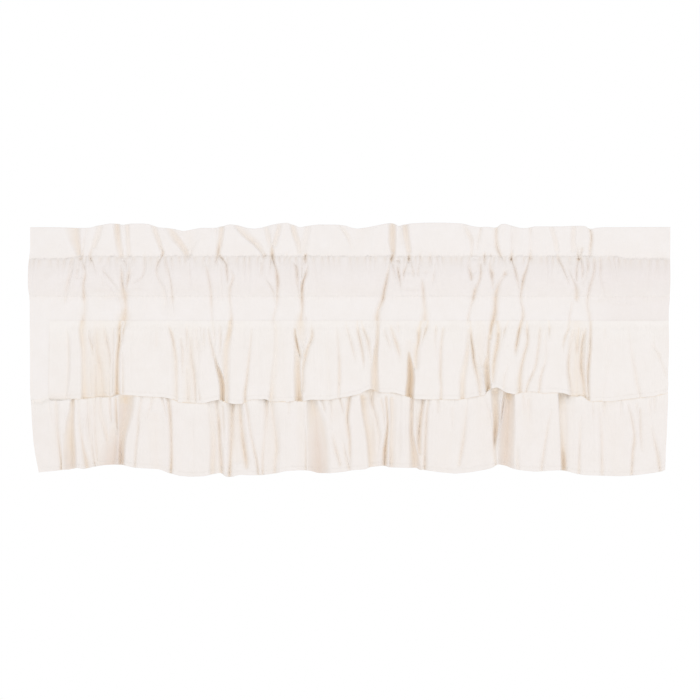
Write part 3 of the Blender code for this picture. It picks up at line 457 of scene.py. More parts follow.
LOWER_LINES: Lines = (
    crease(1.7, (49, 400, 1.6), (50.5, 410, 1.6), (53.5, 424, 1)),
    crease(1.8, (56.5, 398, 3.6), (57.7, 412, 3.2), (58.4, 430, 3.6), (59.6, 442, 4.2), (61, 452, 5.4),
        (61.9, 460, 6.6), (62, 473, 8.4)),
    trench(3, (73.5, 398, 9, 2.4), (73.4, 410, 7, 3.4, 2.4), (72.6, 420, 8, 6, 2.8),
        (72.4, 430, 9.6, 8, 3.4), (72.4, 442, 11, 9, 4), (73, 456, 12.6, 10, 4.4), (73, 471, 13, 11, 4.6)),
    ridge(2, (67.5, 412, 1), (66, 430, 1.4)),
    ridge(1.7, (77.4, 438, 1), (78.6, 468, 1.8)),
    crease(2, (79, 400, 2.6), (80, 415, 2.4), (81, 428, 3.2), (82.5, 438, 4.4), (84, 448, 5.4),
        (86, 458, 7, 2.4, 3.4), (88, 471, 8, 3, 4.4)),
    ridge(2.4, (88, 412, 1), (85, 425, 1.4), (86, 436, 1)),
    crease(1.7, (92, 428, 1.6), (92.5, 445, 2.8), (94, 455, 4), (96.4, 469, 5.4)),
    crease(1.5, (88.4, 398, 2.8), (89, 420, 3), (90.4, 440, 2.4)),
    crease(1.5, (95.8, 398, 3), (95.2, 414, 2.4), (96, 436, 3.2), (98.4, 466, 4)),
    crease(1.4, (101, 398, 3), (101.6, 412, 2.4)),
    crease(1.4, (110.6, 398, 4), (111, 412, 4), (112.4, 424, 3)),
    facet((2.4, 5), (101, 411, 2), (103, 420, 3.6), (105.5, 430, 5), (108, 440, 6.2), (109.4, 450, 6)),
    trench((7, 6), (115.5, 424, 5, 6, 4), (116, 436, 10, 9, 6), (115, 450, 13.4, 13, 6),
        (112, 468, 14.4, 17, 8)),
    crease((2.4, 1.8), (116.5, 399, 6.4), (117, 412, 8), (117.6, 422, 9), (117.8, 433, 8)),
    trench(8, (126, 397, 12.4, 9, 10), (126, 406, 12.4, 9), (125.6, 414, 12.4, 8.4, 8),
        (124.4, 422, 12.4, 7), (123, 430, 12.4, 5.6, 6), (122, 438, 13, 4.6, 5), (121.5, 448, 14.5, 4, 4.4),
        (121.5, 470, 17, 4, 3.8)),
    crease(1.4, (124, 400, 3), (123.5, 415, 3), (122, 428, 2)),
    crease(1.6, (142, 398, 2.8), (140, 410, 3.2), (139, 420, 3.2), (139, 430, 3.6), (137.5, 440, 3.2),
        (136.5, 450, 3.4), (135.4, 470, 4.4)),
    ridge(1.7, (141.4, 420, 0.8), (139.5, 440, 1.2), (138, 460, 1)),
    crease(1.7, (152.5, 399, 2.4), (150, 410, 2.8), (148, 417, 1.4)),
    crease(1.6, (162.5, 398, 3.4), (165.5, 408, 3.4), (167, 417, 1.6)),
    crease(2, (168.5, 398, 5.4), (170, 409, 6.2), (171, 418, 6.2), (171.5, 428, 5.2), (172, 448, 5.4),
        (172, 460, 6.6), (171.2, 475, 7.6)),
    crease(2.4, (193, 425, 1), (194, 470, 1.4)),
    facet((3, 4.4), (210, 400, 1.8), (211, 412, 2.4), (212, 422, 3.4), (213, 432, 3.8), (213.4, 446, 5),
        (212, 478, 6)),
    crease((1.9, 2.2), (216.5, 400, 5), (218, 412, 4.8), (219, 420, 6), (219.5, 428, 6.6), (220, 438, 5.4),
        (220.5, 448, 5), (221.5, 458, 5.4), (222.6, 480, 6)),
    crease((2.4, 2.6), (223, 407, 4.8), (223.6, 425, 4.8), (224.4, 444, 2.4)),
    crease((2, 2.2), (233.4, 398, 9), (232.6, 410, 7), (232, 420, 5.4), (231.5, 435, 5.4), (231, 450, 6.4),
        (229.5, 480, 7.6)),
    crease((3.2, 2.6), (240, 404, 5), (241, 418, 7), (242, 428, 6.4), (243, 438, 7.4), (244.5, 448, 8.4),
        (246, 458, 8.4), (247, 466, 6)),
    crease(1.7, (245.6, 399, 4.4), (247.5, 410, 4.4), (249, 420, 3.8), (250.5, 430, 3.4), (252.5, 440, 3.8),
        (254.5, 450, 4.8), (257, 460, 5.2), (259, 477, 5.4)),
    crease((1.9, 1.7), (266.7, 398, 7.4), (267, 410, 4.4), (266.5, 420, 3.2), (265.5, 432, 3.2, 2.6, 1.8),
        (264, 444, 3.8, 3, 2), (263, 455, 4.4, 3, 2.2), (263, 477, 5.4)),
    crease((2.8, 3), (271.5, 400, 4.4), (273, 415, 4.4), (275, 428, 4.4), (276.5, 440, 5.2), (277, 450, 5.8),
        (275.4, 460, 4.8), (274.6, 476, 5.4)),
    crease(1.6, (289, 398, 3), (289, 413, 2)),
    crease(1.7, (305, 428, 2), (306, 445, 4.4), (306, 476, 5.6)),
    trench(7, (311.5, 398, 8, 5), (313.5, 410, 9.6, 7, 8), (316, 422, 10.6, 10), (317, 435, 12, 11),
        (318, 450, 13.6, 12), (319, 476, 14.6, 13, 11)),
    crease(2.4, (314, 403, 5), (316, 420, 6), (317, 435, 6), (317.5, 452, 4)),
    crease(1.5, (322, 399, 4), (324.5, 409, 3)),
    crease(1.7, (330.6, 399, 3.6), (332, 412, 2.8), (331, 426, 1.4)),
    crease(1.8, (332.6, 436, 2), (335, 446, 4.2), (337, 454, 4.8), (340, 464, 4.2)),
    crease(1.6, (339.6, 397, 5), (342, 406, 4.2), (344, 414, 2.2)),
    crease(1.8, (343.6, 445, 2.4), (346, 455, 4.2), (349.4, 468, 4.4)),
    crease((2.6, 1.6), (349.6, 397, 7), (348.5, 408, 7.2), (347.5, 416, 7), (348, 424, 6.4), (349, 432, 6.2),
        (350, 440, 5.8), (350, 452, 5.2), (350, 463, 3)),
    facet((1.9, 7), (361.6, 397, 9), (363, 410, 7.2), (364.5, 420, 6.4), (366.5, 430, 6.4), (368, 440, 6.4),
        (369, 450, 7), (370, 472, 7)),
    crease(1.6, (371, 397, 4.4), (373.5, 408, 4.4), (376, 416, 3.8), (378, 426, 3.4), (379.5, 436, 3.2),
        (378, 448, 1.4)),
    crease(2.6, (381, 400, 4.4), (384, 414, 4.4), (384.6, 428, 3)),
    crease(1.9, (386, 398, 6), (387, 412, 6.4), (387.5, 422, 7.4), (387, 432, 8.4), (386, 440, 10, 2.2, 2),
        (385, 450, 13, 2.8, 2.4), (384.6, 471, 14, 3.2, 3)),
    facet((2, 5), (391, 399, 5), (391.5, 415, 5), (391, 430, 4.8), (390.5, 445, 5.4), (390, 472, 8)),
    ridge(4.4, (404, 398, 2), (403.4, 430, 2.8), (402, 456, 1.6)),
    trench((2.4, 2.2), (412, 398, 8), (411.4, 412, 7.4), (411, 432, 8, 2.6, 2.2), (412, 442, 9, 3),
        (413.6, 452, 11, 4.4), (415.4, 474, 12.4, 6)),
    ridge(1.6, (414.8, 408, 1), (415.4, 425, 1.6), (415.8, 442, 1.2)),
    crease(1.9, (423, 398, 7), (421.5, 410, 7.2), (420, 420, 7.2), (419, 430, 7.6), (418.5, 440, 7.6),
        (419, 452, 6)),
    crease(1.7, (428.4, 400, 4.4), (426.5, 414, 4.8), (426, 424, 5.2), (425.5, 436, 5.2), (425, 448, 5.4),
        (424.5, 476, 7)),
    crease(1.4, (452, 408, 2.2), (452.5, 427, 1.8)),
    crease(1.5, (438, 398, 2.8), (438, 410, 1.6)),
    crease((3, 2.2), (467, 400, 2), (466, 412, 3), (465, 422, 3.6), (464, 432, 4.2), (463, 442, 4.8),
        (461, 452, 5.2), (459, 464, 4)),
    crease((3.2, 2), (485, 400, 2.2), (489, 412, 3), (491, 422, 3), (492.5, 434, 3.6), (494, 446, 4.4),
        (495.6, 466, 5.4)),
    trench(2, (494.8, 392, 9, 4.6, 4), (495.2, 404, 10, 4.4, 4), (495.6, 414, 11, 4, 3.8),
        (495.6, 424, 12, 3.6), (495, 432, 13, 3, 3.2), (494.5, 440, 11, 2.2, 2.4), (494.2, 448, 5, 1.4)),
    ridge(1.4, (502, 394, 2.4), (500.6, 408, 3), (498.8, 426, 3.2), (496.8, 444, 1.8)),
    trench(7, (508.4, 392, 15, 4.8, 5.6), (507.6, 410, 14.4, 5.8, 6.8), (506.4, 430, 14, 7, 8),
        (505.4, 450, 14, 8, 9), (504.6, 472, 14, 8.6, 9.4)),
    crease(1.7, (504.4, 394, 8.5), (503, 404, 10.4), (501.6, 414, 8), (500, 426, 4)),
    facet(3, (515, 440, 1), (516, 455, 3), (518, 472, 4)),
    crease(1.6, (523, 396, 3), (524, 411, 1.8)),
    crease(1.6, (528, 400, 2.6), (529, 419, 1.6)),
    crease(1.8, (551, 410, 1.6), (548, 422, 2.8), (546.5, 432, 3.6), (544.5, 444, 3.8), (543, 454, 3.8),
        (540.6, 472, 3.8)),
    facet((1.7, 8), (559, 395, 9, 1.7, 5), (559.5, 410, 6), (560, 420, 5.6), (560.5, 430, 6, 1.7, 7),
        (561, 440, 7, 1.7, 6), (562, 475, 8, 1.7, 6)),
    trench((2, 3), (561.4, 441, 3, 1.8, 2.6), (561.8, 449, 8, 1.8, 3), (562.4, 458, 12, 2, 3.6),
        (563.2, 475, 14, 2.4, 4.2)),
    crease(2.3, (580, 418, 1.8), (579.5, 432, 3.2), (579, 444, 3.8), (578, 477, 4.8)),
    crease(1.6, (592, 402, 2), (592.5, 416, 1.6)),
    crease(2.3, (597, 406, 1.8), (599.5, 418, 2.8), (600.5, 428, 3.2), (601, 440, 3.8), (601.3, 478, 4.6)),
    crease(1.8, (604, 400, 3.2), (603, 415, 2)),
    crease(1.7, (620, 402, 2.4), (620, 416, 1.4)),
    crease(1.8, (627.5, 406, 2.6), (630.5, 416, 3.8), (632, 424, 4.2), (633.5, 434, 4.2), (633.5, 442, 4.8),
        (632, 450, 5.2), (630.5, 477, 5.4)),
    crease(1.5, (636, 405, 2.6), (637.5, 419, 2)),
    crease(1.5, (639, 410, 3.4), (639.5, 425, 3.8), (640, 438, 3.2), (641, 449, 2)),
    crease(1.6, (649, 401, 2), (649, 414, 1.4)),
    crease(1.6, (653.5, 399, 2.4), (653.5, 411, 1.4)),
    crease(1.9, (651, 428, 2), (653, 438, 3.2), (655, 446, 4.2), (657, 454, 4.4), (659.6, 474, 5.2)),
)

LOWER_RECESSES: Lines = (
    ridge((26, 20), (33, 394, 11), (33, 404, 10.4), (33, 415, 8), (33, 430, 4.6), (33, 450, 1.4)),
    trench((18, 16), (97, 398, 3.6), (100, 430, 3.4), (100, 462, 4, 18, 14)),
    trench(6, (56, 404, 1.6), (56, 425, 2.4), (58, 470, 2)),
    trench(10, (155, 415, 2.2), (156, 440, 2.8), (158, 475, 2.8)),
    trench((14, 4), (219, 400, 3.4), (220, 440, 3.8), (221, 480, 3.8)),
    trench((6, 14), (230, 400, 5), (233, 430, 4.6), (236, 460, 3)),
    trench(10, (268, 398, 3.6), (270, 440, 3), (270, 478, 2.4)),
    trench((7, 5), (301, 404, 2.4), (302, 440, 3), (303, 476, 3)),
    trench(12, (334, 398, 2.4), (338, 430, 1.8), (341, 470, 1.6)),
    trench(10, (372, 390, 4), (373, 430, 4), (376, 472, 4)),
    trench((7, 6), (376, 384, 9), (372, 392, 7, 10, 8), (372, 397, 3, 10, 8)),
    trench((9, 7), (495, 380, 9), (496, 388, 8), (497, 393, 5), (498, 398, 2)),
    trench(8, (566, 388, 8), (567, 395, 7), (567, 400, 2)),
    trench(8, (395, 390, 2), (395, 430, 2), (396, 472, 3)),
    trench(9, (419, 394, 4), (420, 440, 4), (420, 476, 4)),
    trench(12, (446, 410, 1.2), (446, 470, 2)),
    trench((14, 10), (482, 396, 2.4), (484, 420, 2.4), (486, 462, 1.4)),
    trench(10, (526, 394, 2.6), (527, 416, 2.2), (528, 440, 1.2)),
    trench((5, 12), (563, 392, 3.6), (565, 420, 2.8), (568, 470, 1.6)),
    trench((14, 20), (604, 404, 2.4), (612, 440, 1.8), (616, 474, 1.8)),
)

# Edges, as (x, y) points from the left
TOP_EDGE: Pairs = (
    (31, 228), (60, 228), (80, 228.7), (90, 228.6), (98, 226.3), (110, 224.3), (118, 224.4), (122, 226),
    (130, 224.4), (143, 224.3), (150, 225), (158, 228.3), (168, 228.8), (175, 230), (184, 232), (192, 230.3),
    (200, 228.7), (216, 228.7), (224, 226.5), (231, 225), (238, 226), (246, 228.5), (254, 229.5),
    (262, 228.5), (270, 226), (280, 224), (288, 223.5), (293, 225.5), (300, 228.3), (308, 226.5),
    (318, 225.3), (338, 225.5), (346, 226.5), (352, 228.5), (357, 229.5), (368, 228), (378, 226),
    (386, 224.3), (393, 223.8), (398, 227.3), (403, 225.5), (410, 224.3), (425, 223.5), (445, 223.5),
    (463, 224.3), (472, 227), (480, 228), (488, 227.5), (496, 228.8), (500, 225), (505, 224.5), (512, 226.5),
    (520, 228.8), (528, 228.8), (533, 227.2), (560, 227.3), (575, 226.5), (585, 226.7), (590, 230),
    (596, 228.6), (604, 228), (669, 227.8),
)

UPPER_HEM: Pairs = (
    (49, 399.5), (62, 400), (68, 399), (74, 398.5), (80, 398.5), (88, 398), (100, 396.5), (112, 396.5),
    (117, 394.2), (123, 394.2), (134, 395), (140, 395.8), (165, 397), (174, 399), (180, 402), (192, 402.5),
    (206, 402.5), (213, 400.5), (221, 399), (226, 402), (234, 403.5), (243, 403.5), (247, 400), (252, 399),
    (263, 399), (266, 398.5), (270, 401), (288, 401.5), (296, 400), (303, 401), (310, 399.2), (330, 399.5),
    (336, 398), (346, 396.5), (356, 394.5), (361, 393), (365, 390.5), (371, 388.3), (375, 390), (378, 391.5),
    (384, 392.5), (393, 392), (397, 393), (402, 394.5), (408, 396), (414, 398.5), (425, 399), (458, 399),
    (466, 398), (476, 395.8), (484, 395), (488, 389), (496, 386.8), (500, 388.5), (505, 392), (514, 394),
    (521, 391.8), (530, 391), (543, 392.5), (556, 392), (562, 392.5), (570, 395), (576, 396.2), (580, 394.5),
    (584, 396.5), (588, 400.5), (600, 401), (612, 400.8), (620, 399.5), (635, 397.5), (650, 396),
    (660, 394.5), (667, 392),
)

BASE_EDGE: Pairs = (
    (31, 399.4), (45, 399.2), (52, 394), (60, 390.5), (80, 388.5), (100, 386.5), (117, 385), (140, 386.5),
    (170, 388), (200, 390.5), (245, 390.5), (300, 390), (330, 388.5), (350, 384), (371, 379), (392, 381.5),
    (415, 387), (460, 387.5), (476, 383), (488, 378.5), (496, 377), (506, 379.5), (540, 381.5), (570, 384),
    (590, 388.5), (615, 389.5), (640, 386.5), (664, 381),
)

LOWER_HEM: Pairs = (
    (38, 471.7), (57, 470), (65, 469), (70, 469), (78, 467), (84, 468.5), (95, 466), (105, 464.5),
    (116, 464), (124, 464.5), (135, 467), (160, 468.5), (166, 471), (170, 472.5), (180, 475), (190, 476),
    (205, 475.5), (213, 473.5), (221, 472), (226, 476.2), (232, 476.2), (240, 474), (250, 474.5),
    (262, 474.5), (277, 472.5), (285, 470.5), (300, 469.5), (310, 470), (318, 472.5), (330, 472.5),
    (345, 471), (352, 469.5), (366, 468.5), (370, 466.5), (383, 465), (390, 466.8), (417, 467.3),
    (419.5, 470), (422, 468.8), (425, 469.5), (440, 471.5), (455, 473), (470, 471.5), (485, 469),
    (493, 466.8), (497, 463.5), (505, 465), (512, 468), (520, 469.5), (535, 471), (548, 470), (560, 469.5),
    (566, 470.5), (572, 472), (578, 473.5), (585, 474.5), (600, 475), (620, 475.5), (635, 474.5),
    (650, 472.5), (660, 471), (664, 469),
)

HEADER_EDGE: Pairs = (
    (31, 259.2), (66, 259.2), (74, 257.2), (84, 256.6), (616, 256.6), (626, 259), (669, 259.2),
)

UPPER_SEAM_EDGE: Pairs = ((31, 320.6), (665, 320.6))

# Side edges, as (y, x) points from the top
UPPER_LEFT_SIDE: Pairs = ((315, 50.4), (330, 50), (365, 49.4), (402, 49.2))
LEFT_SIDE: Pairs = (
    (220, 30.5), (250, 30.5), (262, 28.9), (290, 28.8), (300, 30.4), (395, 30.6), (405, 31.8), (425, 33),
    (445, 34.5), (458, 36.5), (471, 39), (480, 40.5),
)
RIGHT_SIDE: Pairs = (
    (220, 670), (257, 670), (264, 669.5), (300, 669.3), (312, 668), (345, 668), (365, 667.4), (382, 666.6),
    (392, 667.4), (399, 665.8), (412, 667), (435, 666), (445, 665.6), (460, 664.6), (480, 663.8),
)


# ---- Cloth in numbers ----------------


def ease(share: Array) -> Array:
    """A smooth step from 0 to 1 as share goes from 0 to 1, level at both ends."""
    held = np.clip(share, 0.0, 1.0)
    return held * held * (3.0 - 2.0 * held)


def eased_interp(at: Array, places: Array, values: Array) -> Array:
    """Values between known places, eased from each to the next, so that the curve has no corners.

    Args:
        at: Where values are wanted.
        places: Known places, rising.
        values: Known values, one for each place.

    Returns:
        The values at each place asked for.
    """
    after = np.clip(np.searchsorted(places, at), 1, len(places) - 1)
    low, high = places[after - 1], places[after]
    share = ease((at - low) / (high - low))
    return values[after - 1] + share * (values[after] - values[after - 1])


def smoothed(at: Array, known: Array | Pairs, reach: float) -> Array:
    """Values between known pairs of place and value, averaged over reach on both sides to round them."""
    places, values = np.array(known, float).T
    offsets = reach * np.array([-1.0, -0.5, 0.0, 0.5, 1.0])
    return np.mean([np.interp(at + offset, places, values) for offset in offsets], axis=0)


def chart_x(x: Array) -> Array:
    """Chart x of a place along the width."""
    return CHART_MIDDLE + x / UNIT


def chart_y(height: Array) -> Array:
    """Chart y of a height."""
    return CHART_TOP - height / UNIT


def edge_height(edge: Pairs, x: Array, reach: float = 1.6) -> Array:
    """Height of a charted edge at each place along the width."""
    return (CHART_TOP - smoothed(chart_x(x), edge, reach)) * UNIT


def side_place(side: Pairs, height: Array) -> Array:
    """Place along the width of a charted side edge at each height."""
    return (smoothed(chart_y(height), side, 5.0) - CHART_MIDDLE) * UNIT


def turned_under(past: Array, radius: float) -> tuple[Array, Array]:
    """How an edge turns under: round a half circle, then straight back behind the cloth.

    Args:
        past: Distance along the cloth past the edge; 0 or less is still on the face.
        radius: Radius of the turn.

    Returns:
        How far beyond the edge the cloth lies, and how far behind its face.
    """
    past = np.maximum(past, 0.0)
    angle = np.minimum(past / radius, math.pi)
    straight = np.maximum(past - math.pi * radius, 0.0)
    return radius * np.sin(angle) - straight, radius * (1.0 - np.cos(angle))


def broad(depth: Array, reach: int) -> Array:
    """Depth averaged along each row over reach columns to both sides, which only wide hollows keep."""
    window = 2 * reach + 1
    sums = np.pad(depth, ((0, 0), (reach + 1, reach)), mode="edge").cumsum(axis=1)
    return (sums[:, window:] - sums[:, :-window]) / window


@dataclass(frozen=True)
class Relief:
    """All the charted folds of one cloth.

    Attributes:
        lines: Folds; where they meet, the deeper one wins, joined softly.
        recesses: Broad folds under the others, which add to them. Round ones add no painted fold shade.
        dents: Short folds across the cloth, which add too.
        spread: How much wider each crease is made than charted.
        deepen: How much deeper.
        fade: Chart units over which a line dies out past its ends.
    """

    lines: Lines
    recesses: Lines = ()
    dents: tuple[Dent, ...] = ()
    spread: float = 1.0
    deepen: float = 1.0
    fade: float = 5.0

    def at(self, x: Array, height: Array) -> tuple[Array, Array]:
        """Depth below the panels at each point, and the painted fold shade there: shade painted into the
        colour where it falls in the folds.

        Depth is the fourth root of the summed fourth powers of the folds, plus the recesses and the
        dents, less the ridges. The painted fold shade is the same root, with wide folds counted for less.

        Args:
            x: Place along the width, as (rows, columns).
            height: Height, of the same shape.

        Returns:
            Depth and painted fold shade.
        """
        across, down = chart_x(x), chart_y(height)
        joined, added, fold_shade = np.zeros(x.shape), np.zeros(x.shape), np.zeros(x.shape)
        for line in self.lines:
            near, depth = self._one(line, across, down)
            if line.wall is Wall.RIDGE:
                added[near] -= depth
            else:
                joined[near] += np.maximum(depth, 0.0) ** 4
                # Painted shade: deeper folds are painted darker and warmer
                fold_shade[near] += (FOLD_SHADE_SHARE[line.wall] * np.maximum(depth, 0.0)) ** 4
        for line in self.recesses:
            near, depth = self._one(line, across, down)
            added[near] += depth
            if line.wall is not Wall.RIDGE:
                fold_shade[near] += depth**4
        for dent in self.dents:
            turn = math.radians(dent.degrees)
            aside, below = across - dent.x, down - dent.y
            along = (aside * math.cos(turn) - below * math.sin(turn)) / dent.half_length
            over = (aside * math.sin(turn) + below * math.cos(turn)) / dent.half_width
            added += dent.depth * np.exp(-1.6 * (along**2 + over**2))
        return self.deepen * (joined**0.25 + added), fold_shade**0.25

    def _one(self, line: Line, across: Array, down: Array) -> tuple[tuple[Array, ...], Array]:
        """Depth of one line: that of its knots at each height, times the shape of its walls.

        Args:
            line: The line.
            across: Chart x of each point.
            down: Chart y.

        Returns:
            Which points are near the line, and its depth at them.
        """
        knots = np.array(sorted(line.knots, key=lambda knot: knot[1]))
        level = knots[:, 1]
        runs = self.spread * float(knots[:, 3:].max())
        near = np.nonzero(
            (down > level[0] - self.fade)
            & (down < level[-1] + self.fade)
            & (across > knots[:, 0].min() - runs)
            & (across < knots[:, 0].max() + runs)
        )
        y = down[near]
        centre, deep, left, right = (smoothed(y, knots[:, (1, column)], 2.0) for column in (0, 2, 3, 4))
        aside = across[near] - centre
        wider = self.spread if line.wall is Wall.CREASE else 1.15
        share = np.clip(1.0 - np.abs(aside) / (wider * np.where(aside < 0.0, left, right)), 0.0, 1.0)
        if line.wall is Wall.CREASE:
            shape = 0.5 * share + 0.5 * share**2.6
        elif line.wall is Wall.FACET:
            shape = 0.5 * share + 0.5 * ease(share)
        elif line.wall is Wall.TRENCH:
            shape = 0.35 * ease(1.5 * share) + 0.65 * share**1.2
        else:
            shape = ease(share)
        ends = ease((y - level[0]) / self.fade + 1.0) * ease((level[-1] - y) / self.fade + 1.0)
        return near, deep * ends * shape


@dataclass(frozen=True)
class Ripple:
    """Unplanned unevenness of washed cotton: a sum of waves in many directions.

    Attributes:
        seed: Seed of the directions and phases.
        height: Height of the relief, about one standard deviation.
        longest: Longest wave.
        shortest: Shortest wave.
        upright: How much the waves run up and down the cloth, from 0, in all directions, to 1.
        waves: How many are summed.
    """

    seed: int
    height: float
    longest: float
    shortest: float
    upright: float = 0.5
    waves: int = 26

    def at(self, x: Array, z: Array) -> Array:
        """Relief at each point: the sum of cosines of x and z with drawn lengths, directions and phases.

        Args:
            x: Place along the width.
            z: Height.

        Returns:
            Relief, above and below 0.
        """
        draw = np.random.default_rng(self.seed)
        length = self.shortest * (self.longest / self.shortest) ** draw.random(self.waves)
        turn = (1.0 - self.upright) * math.pi * (draw.random(self.waves) - 0.5)
        phase = 2.0 * math.pi * draw.random(self.waves)
        share = (length / self.longest) ** 0.8
        total = np.zeros(np.broadcast(x, z).shape)
        for size, angle, start, part in zip(length, turn, phase, share):
            along = x * math.cos(angle) + z * math.sin(angle)
            total += part * np.cos(2.0 * math.pi * along / size + start)
        return self.height * total / math.sqrt(0.5 * float(np.sum(share**2)))


@dataclass(frozen=True)
class Puckers:
    """Fine gathers that spring from a row of stitches and die out away from it.

    Attributes:
        seed: Seed of the widths, heights and lengths.
        narrowest: Narrowest gather.
        widest: Widest gather.
        height: Height of the tallest.
        reach: How far the longest goes from its stitches.
        slant: How far a gather strays sideways over its reach.
        half_row: Half the length of the row of stitches.
    """

    seed: int
    narrowest: float
    widest: float
    height: float
    reach: float
    slant: float = 3.0
    half_row: float = 600.0

    def at(self, x: Array, away: Array) -> Array:
        """Relief at each point: round ridges between sharp valleys, each with its own height and length.

        The place within a gather is the share of the way from its left valley to its right one, and the
        relief is a half sine over that share, times the gather's height, times a fall with the distance
        from the stitches.

        Args:
            x: Place along the stitches.
            away: Distance from the stitches; the relief is 0 where it is negative.

        Returns:
            Relief, 0 in the valleys and positive on the ridges.
        """
        draw = np.random.default_rng(self.seed)
        count = int(2.0 * self.half_row / self.narrowest)
        widths = self.narrowest + (self.widest - self.narrowest) * draw.random(count) ** 1.5
        valleys = np.pad(np.cumsum(widths), (1, 0)) - self.half_row
        tall = self.height * (0.25 + 0.75 * draw.random(count + 1) ** 1.3)
        reach = self.reach * (0.3 + 0.7 * draw.random(count + 1) ** 1.5)
        leans = self.slant * draw.uniform(-1.0, 1.0, 60)
        spots = np.linspace(-self.half_row - 20.0, self.half_row + 20.0, len(leans))
        stray = eased_interp(x, spots, leans)
        place = np.interp(x + stray * away / self.reach, valleys, np.arange(count + 1))
        cell = np.clip(place.astype(int), 0, count)
        dome = np.sqrt(np.sin(math.pi * (place - cell)) ** 2 + 0.01) - 0.1
        fall = np.exp(-((np.maximum(away, 0.0) / reach[cell]) ** 1.4)) * (away >= 0.0)
        return dome * tall[cell] * fall


# ---- Meshes --------------------------


def placed(name: str, data: bpy.types.ID) -> Object:
    """A new object in the scene."""
    thing = bpy.data.objects.new(name, data)
    bpy.context.scene.collection.objects.link(thing)
    return thing


def quad_mesh(name: str, points: Array, faces: Array) -> Object:
    """A smooth mesh object in the scene.

    Args:
        name: Object and mesh name.
        points: Points in metres, with x, y and z last.
        faces: Rows of four vertex numbers.

    Returns:
        The object.
    """
    mesh = bpy.data.meshes.new(name)
    mesh.vertices.add(points.size // 3)
    mesh.vertices.foreach_set("co", points.astype(np.float32).reshape(-1))
    mesh.loops.add(faces.size)
    mesh.loops.foreach_set("vertex_index", faces.astype(np.int32).reshape(-1))
    mesh.polygons.add(len(faces))
    mesh.polygons.foreach_set("loop_start", np.arange(0, faces.size, 4, dtype=np.int32))
    mesh.polygons.foreach_set("use_smooth", np.ones(len(faces), dtype=bool))
    mesh.update(calc_edges=True)
    mesh.validate()
    return placed(name, mesh)


def grid_mesh(name: str, points: Array, uv: Array, marks: dict[str, Array] | None = None) -> Object:
    """A mesh object from a grid of points, with a UV map of the flat cloth.

    Args:
        name: Object and mesh name.
        points: Points in metres, as (rows, columns, 3). Rows run down the face and columns to the right.
        uv: Place on the flat cloth, in metres, as (rows, columns, 2).
        marks: Painted shade masks, from 0 to 1 for each point, that the finish reads, by attribute name.

    Returns:
        The object.
    """
    grid = points.shape[:2]
    index = np.arange(grid[0] * grid[1]).reshape(grid)
    corners = [index[1:, :-1], index[1:, 1:], index[:-1, 1:], index[:-1, :-1]]
    faces = np.stack(corners, axis=-1).reshape(-1, 4)
    piece = quad_mesh(name, points, faces)
    layer = piece.data.uv_layers.new(name="Cloth")
    layer.data.foreach_set("uv", uv.reshape(-1, 2)[faces.reshape(-1)].astype(np.float32).reshape(-1))
    for title, values in (marks or {}).items():
        mark = piece.data.attributes.new(title, "FLOAT", "POINT")
        mark.data.foreach_set("value", np.broadcast_to(values, grid).astype(np.float32).reshape(-1))
    return piece


def flat_places(points: Array) -> Array:
    """Place of each grid point on the flat cloth: the mean length along the rows, and down the columns.

    Args:
        points: Points in metres, as (rows, columns, 3).

    Returns:
        Places in metres, as (rows, columns, 2).
    """
    across = np.linalg.norm(np.diff(points, axis=1), axis=2)
    along = np.pad(np.cumsum(across, axis=1), ((0, 0), (1, 0))).mean(axis=0)
    down = np.linalg.norm(np.diff(points, axis=0), axis=2).mean(axis=1)
    fallen = np.pad(np.cumsum(down), (1, 0))
    return np.stack(np.meshgrid(along, -fallen), axis=-1)


# ---- Finishes ------------------------


class Tone(Enum):
    """Base colours of the one dyed cotton; the ruffle's is the face's made a little lighter and yellower,
    painted light.
    """

    FACE = (0.918, 0.853, 0.772)
    # The face's tone, a little lighter and yellower: painted light on the ruffles
    LIT_RUFFLE = (0.930, 0.866, 0.776)
    THREAD = (0.905, 0.845, 0.770)

    def times(self, red: float, green: float, blue: float) -> tuple[float, ...]:
        """The tone with each part scaled, at most 1, as an opaque colour."""
        return (*(min(1.0, part * by) for part, by in zip(self.value, (red, green, blue))), 1.0)


def add_node(tree: Tree, kind: str, inputs: dict[str | int, Given] | None = None, **options: object) -> Node:
    """Adds a shader node, with its options set and its inputs set or linked.

    Args:
        tree: The node tree or group that it goes into.
        kind: Its type, after ShaderNode.
        inputs: A number, a tuple or another node's socket for each input, by name or place.
        **options: The node's own properties.

    Returns:
        The node.
    """
    node = tree.nodes.new(f"ShaderNode{kind}")
    for name, value in options.items():
        setattr(node, name, value)
    for name, value in (inputs or {}).items():
        if isinstance(value, Socket):
            tree.links.new(value, node.inputs[name])
        else:
            node.inputs[name].default_value = value
    return node


def worked(tree: Tree, operation: str, *values: Socket | float) -> Socket:
    """The result of a Math node."""
    return add_node(tree, "Math", dict(enumerate(values)), operation=operation).outputs[0]


def mixed(tree: Tree, share: Socket, first: Given, second: Given, blend: str = "MIX") -> Socket:
    """The result of a colour Mix node."""
    inputs = {"Factor": share, "A": first, "B": second}
    return add_node(tree, "Mix", inputs, data_type="RGBA", blend_type=blend).outputs["Result"]


def new_group(
    title: str, inputs: dict[str, float], outputs: tuple[str, ...]
) -> tuple[Tree, bpy.types.NodeOutputs, bpy.types.NodeInputs]:
    """A node group that takes a place on the cloth and numbers, and puts out numbers.

    Args:
        title: The group's name.
        inputs: The default of each number that it takes.
        outputs: Names of what it puts out.

    Returns:
        The group, the sockets of its inputs, and those that its outputs are linked to.
    """
    group = bpy.data.node_groups.new(title, "ShaderNodeTree")
    for name, default in inputs.items():
        socket = group.interface.new_socket(name=name, in_out="INPUT", socket_type="NodeSocketFloat")
        socket.default_value = default
    group.interface.new_socket(name="Cloth", in_out="INPUT", socket_type="NodeSocketVector")
    for name in outputs:
        group.interface.new_socket(name=name, in_out="OUTPUT", socket_type="NodeSocketFloat")
    return group, group.nodes.new("NodeGroupInput").outputs, group.nodes.new("NodeGroupOutput").inputs


